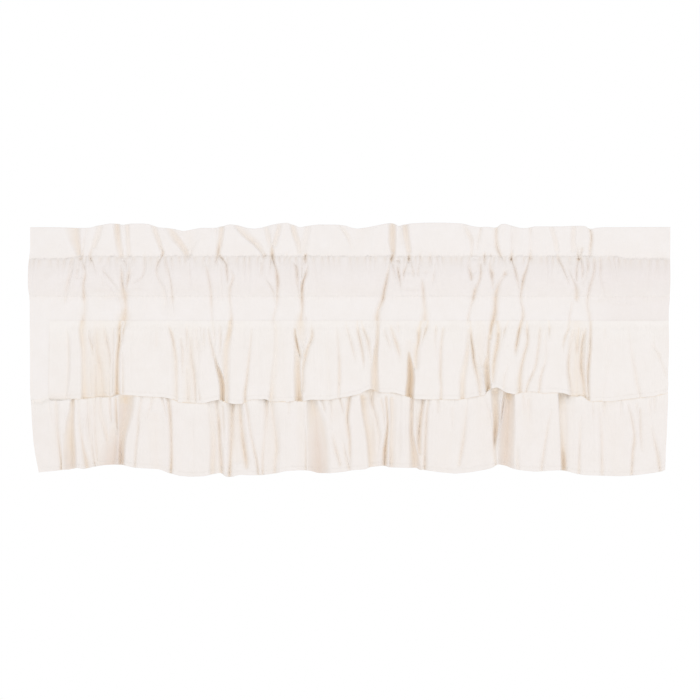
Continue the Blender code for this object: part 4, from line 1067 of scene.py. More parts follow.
def weave_group() -> Tree:
    """Plain weave as a node group: over and under threads in both directions, with slubs.

    Height is the product of the sines across the two sets of threads, which rises and sinks from one
    crossing to the next, plus a share of its size, which lifts every crossing. Slub is a mask of thicker
    stretches of thread, from noise that is stretched along the threads of each set.

    Returns:
        The group, with inputs Threads (per metre), Slubs and Cloth, and outputs Height and Slub.
    """
    group, given, result = new_group("Plain weave", {"Threads": 1400.0, "Slubs": 0.5}, ("Height", "Slub"))
    work = partial(worked, group)
    threads = {0: given["Cloth"], "Scale": given["Threads"]}
    counted = add_node(group, "VectorMath", threads, operation="SCALE").outputs[0]
    counts = add_node(group, "SeparateXYZ", {0: counted}).outputs
    across, along = (work("MULTIPLY", counts[axis], math.pi) for axis in ("X", "Y"))
    both = work("MULTIPLY", work("SINE", across), work("SINE", along))
    lines = work("MULTIPLY", work("ABSOLUTE", both), 0.6)
    weave = work("ADD", work("MULTIPLY_ADD", both, 0.5, 0.5), lines)
    noises = []
    for stretch in ((900.0, 60.0, 1.0), (50.0, 1100.0, 1.0)):
        place = add_node(group, "Mapping", {"Vector": given["Cloth"], "Scale": stretch}).outputs[0]
        noise = add_node(group, "TexNoise", {"Vector": place, "Scale": 1.0, "Detail": 1.0})
        noises.append(noise.outputs[0])
    above = work("SUBTRACT", work("MAXIMUM", *noises), 0.58)
    thick = work("MULTIPLY", work("MAXIMUM", above, 0.0), 5.0)
    slub = work("MULTIPLY", thick, given["Slubs"])
    group.links.new(work("ADD", weave, slub), result["Height"])
    group.links.new(slub, result["Slub"])
    return group


def crumple_group() -> Tree:
    """Washed-in wrinkles as a node group: noise of two sizes, stretched down the cloth.

    Returns:
        The group, with inputs Size (metres) and Cloth, and output Height.
    """
    group, given, result = new_group("Washed wrinkles", {"Size": 0.03}, ("Height",))
    work = partial(worked, group)
    scale = work("DIVIDE", 1.0, given["Size"])
    place = add_node(group, "Mapping", {"Vector": given["Cloth"], "Scale": (1.0, 0.45, 1.0)}).outputs[0]
    wide = {"Vector": place, "Scale": scale, "Detail": 2.0, "Distortion": 0.6}
    fine = {"Vector": place, "Scale": work("MULTIPLY", scale, 4.0), "Detail": 2.0}
    large, small = (add_node(group, "TexNoise", inputs).outputs[0] for inputs in (wide, fine))
    group.links.new(work("MULTIPLY_ADD", small, 0.3, large), result["Height"])
    return group


def new_material(name: str) -> tuple[Material, Tree, Node]:
    """A new material, its node tree and its shader."""
    material = bpy.data.materials.new(name)
    material.use_nodes = True
    return material, material.node_tree, material.node_tree.nodes["Principled BSDF"]


@dataclass(frozen=True)
class CottonFinish:
    """Undyed-looking washed cotton: a plain weave with slubs, soft wrinkles and a faint mottle, with painted
    shade in its folds and a painted grey shade where marked.

    Attributes:
        name: Material name.
        tone: Base colour.
        threads: Threads to the metre.
        weave_rise: Height of the weave's bump, in metres.
        wrinkle_size: Size of the wrinkles, in metres.
        wrinkle_rise: Height of the wrinkles' bump, in metres.
        mottle: How much the colour varies from place to place.
        roughness: Roughness of the face.
        deepen: How strong the painted warm shade in the folds is.
        fold_shade_tint: Painted shade: what the colour is multiplied by in the deepest folds.
        grey_shade_tint: Painted grey shade: what the colour is multiplied by where that shade is full.
    """

    name: str
    tone: Tone
    threads: float = 1400.0
    weave_rise: float = 0.00012
    wrinkle_size: float = 0.028
    wrinkle_rise: float = 0.0006
    mottle: float = 0.5
    roughness: float = 0.86
    deepen: float = 0.78
    fold_shade_tint: Triple = (0.925, 0.835, 0.72)
    grey_shade_tint: Triple = (0.91, 0.87, 0.865)

    def build(self, weave: Tree, crumple: Tree) -> Material:
        """The finish as a material.

        Args:
            weave: The plain weave group.
            crumple: The washed wrinkles group.

        Returns:
            The material.
        """
        material, tree, shader = new_material(self.name)
        shader.inputs["Sheen Weight"].default_value = 0.15
        shader.inputs["Sheen Roughness"].default_value = 0.5
        shader.inputs["Specular IOR Level"].default_value = 0.25
        cloth = add_node(tree, "UVMap", uv_map="Cloth").outputs[0]
        woven = add_node(tree, "Group", {"Threads": self.threads, "Cloth": cloth}, node_tree=weave).outputs
        creased = add_node(tree, "Group", {"Size": self.wrinkle_size, "Cloth": cloth}, node_tree=crumple)
        mottle = add_node(tree, "TexNoise", {"Vector": cloth, "Scale": 38.0, "Detail": 4.0}).outputs[0]

        slubbed = mixed(tree, woven["Slub"], self._mottled(tree, mottle), self.tone.times(1.02, 1.02, 1.02))
        tree.links.new(self._with_painted_shade(tree, slubbed), shader.inputs["Base Color"])
        uneven = {"Value": mottle, "To Min": self.roughness - 0.05, "To Max": self.roughness + 0.06}
        tree.links.new(add_node(tree, "MapRange", uneven).outputs[0], shader.inputs["Roughness"])
        wrinkles = {"Height": creased.outputs["Height"], "Distance": self.wrinkle_rise}
        normal = add_node(tree, "Bump", wrinkles).outputs[0]
        threads = {"Height": woven["Height"], "Normal": normal, "Distance": self.weave_rise, "Strength": 0.6}
        tree.links.new(add_node(tree, "Bump", threads).outputs[0], shader.inputs["Normal"])
        return material

    def _mottled(self, tree: Tree, mottle: Socket) -> Socket:
        """The tone, from a little darker and warmer where the mottle is low.

        Args:
            tree: The material's node tree.
            mottle: The mottle, from 0 to 1.

        Returns:
            The colour.
        """
        ramp = add_node(tree, "ValToRGB", {0: mottle})
        shade = 1.0 - 0.035 * self.mottle
        low, high = ramp.color_ramp.elements
        low.position, high.position = 0.3, 0.7
        low.color = self.tone.times(shade, shade * 0.995, shade * 0.985)
        high.color = self.tone.times(1.0, 1.0, 1.0)
        return ramp.outputs[0]

    def _with_painted_shade(self, tree: Tree, colour: Socket) -> Socket:
        """The colour with painted shade: warm in the face's folds and grey where marked, on front faces
        only.

        Args:
            tree: The material's node tree.
            colour: The colour of the flat cloth.

        Returns:
            The colour.
        """
        backfacing = add_node(tree, "NewGeometry").outputs["Backfacing"]
        # Painted shade from the fold shade and grey shade marks, left off back faces
        for title, most, tint in (
            ("FoldShade", self.deepen, self.fold_shade_tint),
            ("GreyShade", 1.0, self.grey_shade_tint),
        ):
            mark = add_node(tree, "Attribute", attribute_name=title).outputs["Fac"]
            share = worked(tree, "MULTIPLY", mark, worked(tree, "MULTIPLY_ADD", backfacing, -most, most))
            colour = mixed(tree, share, colour, (*tint, 1.0), "MULTIPLY")
        return colour


def thread_finish() -> Material:
    """Sewing thread: the cotton's colour, a little duller, with a fine twist along the stitch.

    Returns:
        The material.
    """
    material, tree, shader = new_material("Sewing thread")
    shader.inputs["Roughness"].default_value = 0.6
    turns = {"Vector": add_node(tree, "TexCoord").outputs["Object"], "Scale": 700.0}
    twist = add_node(tree, "TexWave", turns, bands_direction="DIAGONAL").outputs["Fac"]
    # The twist is a little darker where its bump sinks: painted shade in the grooves
    shades = mixed(tree, twist, Tone.THREAD.times(0.95, 0.95, 0.94), Tone.THREAD.times(1.0, 1.0, 1.0))
    tree.links.new(shades, shader.inputs["Base Color"])
    bump = add_node(tree, "Bump", {"Height": twist, "Distance": 0.00006})
    tree.links.new(bump.outputs[0], shader.inputs["Normal"])
    return material


# ---- Pieces --------------------------


@dataclass(frozen=True)
class HungCloth:
    """The cloth of the heading and body: one surface from the top edge to the body's lower edge.

    Attributes:
        relief: Its folds.
        planes: Height and depth of the flat panels, from the bottom up.
        bulge: How far the pocket's front stands out at its middle.
        gathers: Small gathers, each with the height of its stitches and its sense, -1 for downwards.
        slack: Folds of the body behind the upper ruffle.
        rumple: Unplanned unevenness.
    """

    relief: Relief = Relief(HEADING_LINES, HEADING_RECESSES, HEADING_DENTS, spread=1.7, deepen=0.8)
    planes: Pairs = (
        (-290.0, 9.5), (-225.0, 6.5), (-175.0, 9.0), (-157.0, 10.5), (-122.0, 9.0), (-117.0, 8.5),
        (-110.0, 9.0), (-58.0, 8.0), (-50.0, 7.0), (-42.0, 7.5), (10.0, 8.0),
    )
    bulge: float = 13.0
    gathers: tuple[tuple[float, float, Puckers], ...] = (
        (HEADER_STITCH, -1.0, Puckers(11, 8.0, 19.0, 6.0, 40.0, 7.0)),
        (HEADER_STITCH, 1.0, Puckers(12, 5.0, 15.0, 1.0, 15.0)),
        (POCKET_STITCH, 1.0, Puckers(13, 5.0, 15.0, 0.9, 13.0)),
        (POCKET_STITCH, -1.0, Puckers(14, 5.0, 16.0, 0.9, 17.0)),
    )
    slack: Puckers = Puckers(18, 16.0, 42.0, 8.5, 400.0, 12.0)
    rumple: Ripple = Ripple(15, 0.42, 95.0, 24.0, 0.5)

    def surface(self, x: Array, height: Array, back: bool = False) -> tuple[Array, Array]:
        """The face of the cloth.

        Depth is the panels' plane plus the pocket's bulge, less the folds, plus gathers and rumples.

        Args:
            x: Place of each point along the width, as (rows, columns).
            height: Its height, of the same shape.
            back: Whether this is the turned-back layer, whose gathers are its own and folds wider.

        Returns:
            Depth of each point, and the painted fold shade there.
        """
        plane = smoothed(height, self.planes, 5.0)
        header = edge_height(HEADER_EDGE, x)
        share = np.clip((header - height) / (header - POCKET_STITCH), 0.0, 1.0)
        plane += self.bulge * np.sin(math.pi * share) ** 0.95
        relief = replace(self.relief, spread=2.4, dents=()) if back else self.relief
        below, fold_shade = relief.at(x, height)
        depth = plane - below
        for level, sense, puckers in self.gathers:
            away = sense * (height - (header if level == HEADER_STITCH else level))
            own = replace(puckers, seed=puckers.seed + 40) if back else puckers
            depth += own.at(x, away) - 0.3 * own.height * np.exp(-((away / own.reach) ** 2))
        depth += self.rumple.at(x + 900.0 * back, height)  # another stretch for the back

        # Where the upper ruffle covers it, the body hangs back in loose folds
        covered = ease((UPPER_SEAM - 14.0 - height) / 20.0) * ease((x + 488.0) / 24.0)
        covered *= ease((504.0 - x) / 36.0)
        depth -= covered * (5.0 - self.slack.at(x, UPPER_SEAM - height))

        # The stitches sink in, and the valleys between the gathers below them get painted fold shade too
        for stitch, groove in ((header, 0.8), (POCKET_STITCH, 0.35)):
            depth -= groove * np.exp(-(((height - stitch) / 1.5) ** 2))
        bunched = self.gathers[0][2]
        below_seam = header - height
        valley = np.clip(1.0 - bunched.at(x, below_seam) / (0.4 * bunched.height), 0.0, 1.0)
        fade = ease(below_seam / 2.0) * ease(1.0 - below_seam / 26.0)
        return depth, np.maximum(fold_shade, 5.0 * valley * fade)

    def face_depth(self, x: Array, height: Array) -> Array:
        """Depth of the body's face at each point, or of its lower edge below that."""
        return self.surface(x, np.maximum(height, edge_height(BASE_EDGE, x)))[0]

    def edge_depth(self, x: Array, height: Array) -> Array:
        """Depth of the body's lower edge near the seam, and nothing lower down."""
        base = edge_height(BASE_EDGE, x, 4.0)
        fall = ease((base - height) / 22.0)
        return self.surface(x, base)[0] * (1.0 - fall) - OUT_OF_REACH * fall


def place_sheet(x: Array, depth: Array, height: Array, behind: Array) -> Array:
    """Points in metres, with each moved back square to the cloth as seen from above.

    Args:
        x: Place along the width, as (rows, columns).
        depth: Distance in front of the rod's axis.
        height: Height.
        behind: How far the point lies behind the cloth's face.

    Returns:
        Points as (rows, columns, 3).
    """
    along_x, along_d = np.gradient(x, axis=1), np.gradient(depth, axis=1)
    sense = np.where(along_x < 0.0, -1.0, 1.0)
    length = np.maximum(np.hypot(along_x, along_d), 1e-6)
    normal_x, normal_d = -along_d / length * sense, np.abs(along_x) / length
    return np.stack([x - behind * normal_x, behind * normal_d - depth, height], axis=-1) * MM


@dataclass(frozen=True)
class SideTurns:
    """Columns of a cloth with both side edges turned under.

    Attributes:
        width: Width of the turned-under hem.
        radius: Radius of the turn.
        count: Columns in each turned-under hem.
    """

    width: float = 9.0
    radius: float = 0.3
    count: int = 9

    def around(self, columns: Array) -> tuple[Array, Array]:
        """Extends the columns round both side edges.

        Args:
            columns: Place of each column of the face from the left edge.

        Returns:
            Place of each column from the left edge, which may lie outside it by the turn's radius, and
            how far the column lies behind the face. The columns of a hem lie back over the face's.
        """
        turn = np.linspace(0.0, math.pi * self.radius, 6)[1:]
        past = np.concatenate([turn, np.linspace(4.0, self.width, self.count - len(turn))])
        out, back = turned_under(past, self.radius)
        place = np.concatenate([(columns[0] - out)[::-1], columns, columns[-1] + out])
        return place, np.concatenate([back[::-1], np.zeros(len(columns)), back])


@dataclass(frozen=True)
class Heading:
    """The turned-back top: header, top edge, and the pocket's front and back walls.

    Attributes:
        cloth: The hung cloth that it is part of.
        columns: Columns of the mesh.
        rows: Rows of its front.
        turn: Radius of the turn at the top edge.
        across: From the pocket's front wall to its back wall, at its middle.
    """

    cloth: HungCloth
    columns: int = 960
    rows: int = 74
    turn: float = 1.2
    across: float = 30.0

    def build(self) -> tuple[Object, Array]:
        """The heading as one strip, up the front, over the top edge and down the back.

        The back keeps to the header's front but for its own small folds, and opens into the pocket.

        Returns:
            The piece, and the points of its front, from the top edge down.
        """
        columns = np.linspace(LEFT_EDGE, RIGHT_EDGE, self.columns)
        front = np.linspace(POCKET_STITCH, 0.0, self.rows)
        x, height = self._spread(columns, front)
        # Depth of the front, and its painted fold shade
        depth, below = self.cloth.surface(x, height)

        turn = np.linspace(0.0, math.pi, 7)[1:-1]
        rise, away = self.turn * np.sin(turn), self.turn * (1.0 - np.cos(turn))
        back = np.linspace(0.0, POCKET_STITCH, 24)
        back_x, back_height = self._spread(columns, back)
        face_depth, face_fold_shade = self.cloth.surface(back_x, back_height)
        back_depth, _ = self.cloth.surface(back_x, back_height, back=True)
        opened = (ease((back - POCKET_STITCH) / 26.0) * ease((HEADER_STITCH - back) / 22.0))[:, None]
        started = ease(-back / 14.0)[:, None]
        settled = face_depth + started * (np.minimum(back_depth, face_depth + 0.6) - face_depth)
        settled = settled - opened * (self.across - 2.0 * self.turn + 0.4 * (back_depth - face_depth))

        def strip(face: Array, over: Array | float, reverse: Array) -> Array:
            """The rows of the front, of the turn, which add over to the front's top row, and of the back."""
            return np.concatenate([face, face[-1:] + over * np.ones((len(turn), self.columns)), reverse])

        behind = strip(np.zeros(x.shape), away[:, None], np.full(back_x.shape, 2.0 * self.turn))
        rows = strip(x, 0.0, back_x), strip(depth, 0.0, settled), strip(height, rise[:, None], back_height)
        points = place_sheet(*rows, behind)[::-1]
        # Painted shade: warm in the folds, weaker on the back layer and where the pocket's grey shade lies
        heading_fold_shade = strip(below, 0.0, 0.6 * face_fold_shade)[::-1]
        gathered = self._pocket_shade(points[..., 0] / MM, points[..., 2] / MM)
        marks = {"FoldShade": ease(heading_fold_shade / FULL_FOLD_SHADE) * (1.0 - 0.5 * gathered), "GreyShade": gathered}
        piece = grid_mesh("heading_cloth", points, flat_places(points), marks)
        return piece, points[-self.rows :]

    @staticmethod
    def _pocket_shade(x: Array, height: Array) -> Array:
        """Painted grey shade on the pocket: most across its middle, and more near its right end."""
        share = np.clip((height - HEADER_STITCH) / (POCKET_STITCH - HEADER_STITCH), 0.0, 1.0)
        return np.sin(math.pi * share) ** 0.7 * (0.28 + 0.2 * ease((x - 370.0) / 60.0))

    @staticmethod
    def _spread(columns: Array, levels: Array) -> tuple[Array, Array]:
        """x and height of each point: the sides follow their edges and the top rows the top edge.

        Args:
            columns: Place of each column between straight sides.
            levels: Height of each row under a level top edge.

        Returns:
            Both, as (rows, columns).
        """
        left, right = side_place(LEFT_SIDE, levels), side_place(RIGHT_SIDE, levels)
        share = (columns - LEFT_EDGE) / (RIGHT_EDGE - LEFT_EDGE)
        x = left[:, None] + (right - left)[:, None] * share
        lifted = ease((levels - HEADER_STITCH) / -HEADER_STITCH)[:, None]
        return x, levels[:, None] + lifted * edge_height(TOP_EDGE, x[np.argmax(levels)])


@dataclass(frozen=True)
class BodyPanel:
    """The cloth below the pocket, with its side hems.

    Attributes:
        cloth: The hung cloth that it is part of.
        columns: Columns of its face.
        rows: Rows of its face.
        sides: The turned-under side hems.
        straight_below: Height under which its right edge, hidden there, runs straight down.
    """

    cloth: HungCloth
    columns: int = 1040
    rows: int = 76
    sides: SideTurns = SideTurns()
    straight_below: float = -235.0

    def build(self) -> Object:
        """The body as one sheet, from the pocket's lower stitch to the lower ruffle's seam.

        Returns:
            The piece.
        """
        place, behind = self.sides.around(np.linspace(0.0, RIGHT_EDGE - LEFT_EDGE, self.columns))
        share = np.linspace(0.0, 1.0, self.rows) ** 1.35
        levels = POCKET_STITCH + share * (LOWER_SEAM - POCKET_STITCH)
        left = side_place(LEFT_SIDE, levels)
        right = side_place(RIGHT_SIDE, np.maximum(levels, self.straight_below))
        x = left[:, None] + (right - left)[:, None] * place / (RIGHT_EDGE - LEFT_EDGE)
        height = POCKET_STITCH + share[:, None] * (edge_height(BASE_EDGE, x) - POCKET_STITCH)
        depth, below = self.cloth.surface(x, height)
        points = place_sheet(x, depth, height, np.broadcast_to(behind, x.shape))
        # Painted shade: warm in the folds, and grey towards the right end
        marks = {"FoldShade": ease(below / FULL_FOLD_SHADE), "GreyShade": 0.26 * ease((x - 385.0) / 60.0)}
        return grid_mesh("body_cloth", points, flat_places(points), marks)


@dataclass(frozen=True)
class Ruffle:
    """A gathered strip, from its seam to its hem.

    Attributes:
        name: Object name.
        relief: Its folds.
        seam_edge: Its charted seam.
        hem_edge: Its charted hem.
        left_side: Its charted left edge.
        planes: Share of the drop and depth of the flat panels.
        follows_seam: Share of the drop over which it leaves the cloth that it is sewn to.
        tucked: Width over which its left edge lies close on the cloth behind; 0 for none.
        fine: Small gathers at the seam.
        soft: Wider gathers that last to the hem.
        rumple: Unplanned unevenness.
        behind_it: Depth of the cloth behind at x and height.
        gathered: Painted grey shade over the whole cloth, from 0 to 1, full from a third of the way down.
        under_it: The ruffle that hangs over it, if one does.
        grey_wide_shade: How far the painted shade in wide hollows turns from warm to grey, from 0 to 1.
        columns: Columns of its face.
        rows: Rows of its face.
        width: Its width, near enough, for the spacing of the columns.
        drop: From seam to hem, near enough.
        hem: Depth of the turned-under hem.
        hem_radius: Radius of the hem's turn.
        sides: Its turned-under side hems.
    """

    name: str
    relief: Relief
    seam_edge: Pairs
    hem_edge: Pairs
    left_side: Pairs
    planes: Pairs
    follows_seam: float
    tucked: float
    fine: Puckers
    soft: Puckers
    rumple: Ripple
    behind_it: Callable[[Array, Array], Array]
    gathered: float
    under_it: Ruffle | None = None
    grey_wide_shade: float = 0.0
    columns: int = 1060
    rows: int = 80
    width: float = 1030.0
    drop: float = 128.0
    hem: float = 9.0
    hem_radius: float = 0.55
    sides: SideTurns = SideTurns(width=7.0)

    def build(self) -> tuple[Object, Array]:
        """The ruffle as one sheet, with its hem and sides turned under.

        Returns:
            The piece, and the points of its face, from the seam down.
        """
        place, side_behind = self.sides.around(np.linspace(0.0, self.width, self.columns))
        turn = np.linspace(0.0, math.pi * self.hem_radius, 6)[1:]
        past = np.concatenate([turn, np.linspace(3.5, self.hem, 5)])
        out, hem_behind = turned_under(past, self.hem_radius)
        face = np.linspace(0.0, 1.0, self.rows)
        share = np.concatenate([face, 1.0 + np.minimum(out, 0.0) / self.drop])[:, None]
        below_hem = np.concatenate([np.zeros(self.rows), np.maximum(out, 0.0)])[:, None]
        behind = np.concatenate([np.zeros(self.rows), hem_behind])[:, None]

        level = (CHART_TOP - self.seam_edge[0][1]) * UNIT - self.drop * share[:, 0]
        left, right = side_place(self.left_side, level), side_place(RIGHT_SIDE, level)
        x = left[:, None] + (right - left)[:, None] * place / self.width
        seam = edge_height(self.seam_edge, x, 4.0)
        height = seam + share * (edge_height(self.hem_edge, x) - seam)
        depth, fold_shade = self.surface(x, height, share)
        from_stitches = (1.0 - share) * self.drop - HEM_STITCH
        depth -= 0.45 * np.exp(-((from_stitches / 1.2) ** 2))
        points = place_sheet(x, depth, height - below_hem, behind + side_behind)
        # Painted shade: warm in the folds, turning grey in wide hollows, and a grey shade over the whole
        # cloth
        wide = broad(fold_shade, 12) * ease((share - 0.17) / 0.08)
        less_warm_shade = self.grey_wide_shade * ease((wide - 4.2) / 1.6)
        grey_shade = 0.7 * self.grey_wide_shade * ease((wide - 3.5) / 5.0)
        gathered = self.gathered * ease(share * 3.0) + grey_shade
        marks = {"FoldShade": ease(fold_shade / FULL_FOLD_SHADE) * (1.0 - 0.5 * less_warm_shade), "GreyShade": gathered}
        piece = grid_mesh(self.name, points, flat_places(points), marks)
        return piece, points[: self.rows]

    def surface(self, x: Array, height: Array, share: Array) -> tuple[Array, Array]:
        """Depth of the face, and the painted fold shade.

        Depth is the panels' plane at that share of the drop, less the folds, plus gathers and rumples.
        Near the seam it eases into the cloth that it is sewn to, and it stays in front of it. It stays
        behind a ruffle that hangs over it, and has a painted shadow where that one hangs over it and just
        below its hem.

        Args:
            x: Place along the width, as (rows, columns).
            height: Height.
            share: Share of the drop.

        Returns:
            Depth and painted fold shade at each point.
        """
        below, fold_shade = self.relief.at(x, height)
        depth = smoothed(share, self.planes, 0.04) - below * ease(share / 0.1 + 0.45)
        away = self.drop * share * np.ones_like(x)
        depth += self.fine.at(x, away) + self.soft.at(x, away) * ease(share * 3.0)
        depth += self.rumple.at(x, height) * (0.4 + 0.6 * share)
        cloth_behind = self.behind_it(x, height)
        clear = 1.0  # how far in front of it this one stays
        if self.tucked:
            inward = x - side_place(self.left_side, height)
            loose = ease((inward - 3.0) / self.tucked)
            clear = 1.0 - 0.45 * ease(1.0 - inward / 14.0)
            depth = cloth_behind + clear + loose * (depth - cloth_behind - clear)
        if self.under_it is not None:
            limit = self.under_it.cover(x, height) - RUFFLE_GAP
            # Painted shadow where the ruffle above hangs over this one and just below its hem, fainter at
            # the left end
            shown = ease(1.0 - (height - edge_height(self.under_it.hem_edge, x) - 4.0) / 6.0)
            shaded = 2.5 + 7.5 * ease((x + 468.0) / 16.0)
            fold_shade = np.maximum(fold_shade, shaded * shown * ease(1.0 - (limit - depth) / 40.0))
            depth = np.minimum(depth, limit)
        joined, sewn = ease(share / self.follows_seam), cloth_behind + SEWN_GAP
        depth = sewn + joined * (depth - sewn)
        spare = depth - cloth_behind - clear
        in_front = cloth_behind + clear * ease(share / 0.05)
        in_front += 0.5 * (spare + np.sqrt(spare**2 + 0.3 * clear**2))
        return np.where(joined < 1.0, np.maximum(depth, sewn), in_front), fold_shade

    def cover(self, x: Array, height: Array) -> Array:
        """Depth of this ruffle where it hangs over a point, and out of reach where it doesn't.

        Args:
            x: Place along the width.
            height: Height.

        Returns:
            Depth at each point.
        """
        hem = edge_height(self.hem_edge, x)
        share = np.clip((UPPER_SEAM - height) / (UPPER_SEAM - hem), 0.0, 1.0)
        over = ease((height - hem + 3.0) / 4.0) * ease((chart_x(x) - 48.0) / 3.0)
        return self.surface(x, np.maximum(height, hem), share)[0] + OUT_OF_REACH * (1.0 - over)


@dataclass(frozen=True)
class StitchRun:
    """A row of machine stitches sunk into a cloth.

    Attributes:
        length: Length of a stitch, in metres.
        pitch: From one stitch to the next.
        radius: Radius of the thread.
        sides: Sides of the thread, an even number.
        rings: Place of each ring of points along the stitch, as a share of its length.
        thickness: Radius of each ring, as a share of the thread's.
        lift: How far each ring lies in front of the cloth, in radii of the thread.
    """

    length: float = 0.0026
    pitch: float = 0.0034
    radius: float = 0.00030
    sides: int = 6
    rings: tuple[float, ...] = (0.0, 0.12, 0.5, 0.88, 1.0)
    thickness: tuple[float, ...] = (0.35, 0.85, 1.0, 0.85, 0.35)
    lift: tuple[float, ...] = (-0.48, 0.032, 0.448, 0.032, -0.48)

    def along(self, path: Array) -> tuple[Array, Array]:
        """Stitches along a path on the cloth's face.

        Each is a closed tube of rings round the path, thin at its ends, which dip into the cloth.

        Args:
            path: Points of the face, in metres, as (points, 3).

        Returns:
            Vertices as (stitches, points, 3), and one stitch's faces as rows of four vertex numbers.
        """
        run = np.pad(np.cumsum(np.linalg.norm(np.diff(path, axis=0), axis=1)), (1, 0))
        starts = np.arange(0.004, run[-1] - 0.006, self.pitch)
        thick, lift = np.array(self.thickness) * self.radius, np.array(self.lift) * self.radius
        at = starts[:, None] + np.array(self.rings) * self.length
        centre = np.stack([np.interp(at, run, path[:, axis]) for axis in range(3)], axis=-1)
        lean = centre[:, -1] - centre[:, 0]
        lean /= np.linalg.norm(lean, axis=1, keepdims=True)
        out = np.cross(lean, np.array([0.0, 0.0, 1.0]))
        flat = np.linalg.norm(out, axis=1, keepdims=True)
        out = np.where(flat > 0.3, out / np.maximum(flat, 1e-6), np.array([0.0, -1.0, 0.0]))
        out *= np.where(out[:, 1:2] > 0.0, -1.0, 1.0)
        side = np.cross(out, lean)
        turn = np.linspace(0.0, 2.0 * math.pi, self.sides + 1)[:-1, None]
        ring = np.cos(turn) * out[:, None, None, :] + np.sin(turn) * side[:, None, None, :]
        points = (centre + lift[:, None] * out[:, None, :])[:, :, None, :] + thick[:, None, None] * ring
        first = np.arange(len(self.rings) - 1)[:, None] * self.sides
        base, following = first + np.arange(self.sides), first + (np.arange(self.sides) + 1) % self.sides
        tube = np.stack([base, following, following + self.sides, base + self.sides], axis=-1)
        cap = np.array([[0, side - 1, side, side + 1] for side in range(2, self.sides, 2)])
        faces = np.concatenate([tube.reshape(-1, 4), cap[:, ::-1], cap + first[-1] + self.sides])
        return points.reshape(len(starts), -1, 3), faces


def stitch_mesh(name: str, paths: list[Array], run: StitchRun) -> Object:
    """All the stitches of a cloth as one mesh object.

    Args:
        name: Object name.
        paths: Paths on the cloth's face, in metres.
        run: How the stitches are made.

    Returns:
        The object.
    """
    runs = [run.along(path) for path in paths]
    points, faces = np.concatenate([points for points, _ in runs]), runs[0][1]
    first = points.shape[1] * np.arange(len(points))[:, None, None]
    return quad_mesh(name, points, (faces + first).reshape(-1, 4))


def path_across(face: Array, heights: Array | float) -> Array:
    """The path across a face at a height, on the straight line between the rows above and below it.

    Args:
        face: Points of the face, in metres, as (rows, columns, 3), from the top down.
        heights: The height, or one for each column.

    Returns:
        Points as (columns, 3).
    """
    above = np.clip((face[..., 2] > heights).sum(axis=0) - 1, 0, len(face) - 2)
    columns = np.arange(len(above))
    high, low = face[above, columns], face[above + 1, columns]
    share = (high[:, 2] - heights) / (high[:, 2] - low[:, 2])
    return high + share[:, None] * (low - high)


# ---- Stage ---------------------------


@dataclass(frozen=True)
class Lamp:
    """A round soft light, with its place, its size across in metres and its power in watts."""

    name: str
    place: Triple
    size: float
    power: float


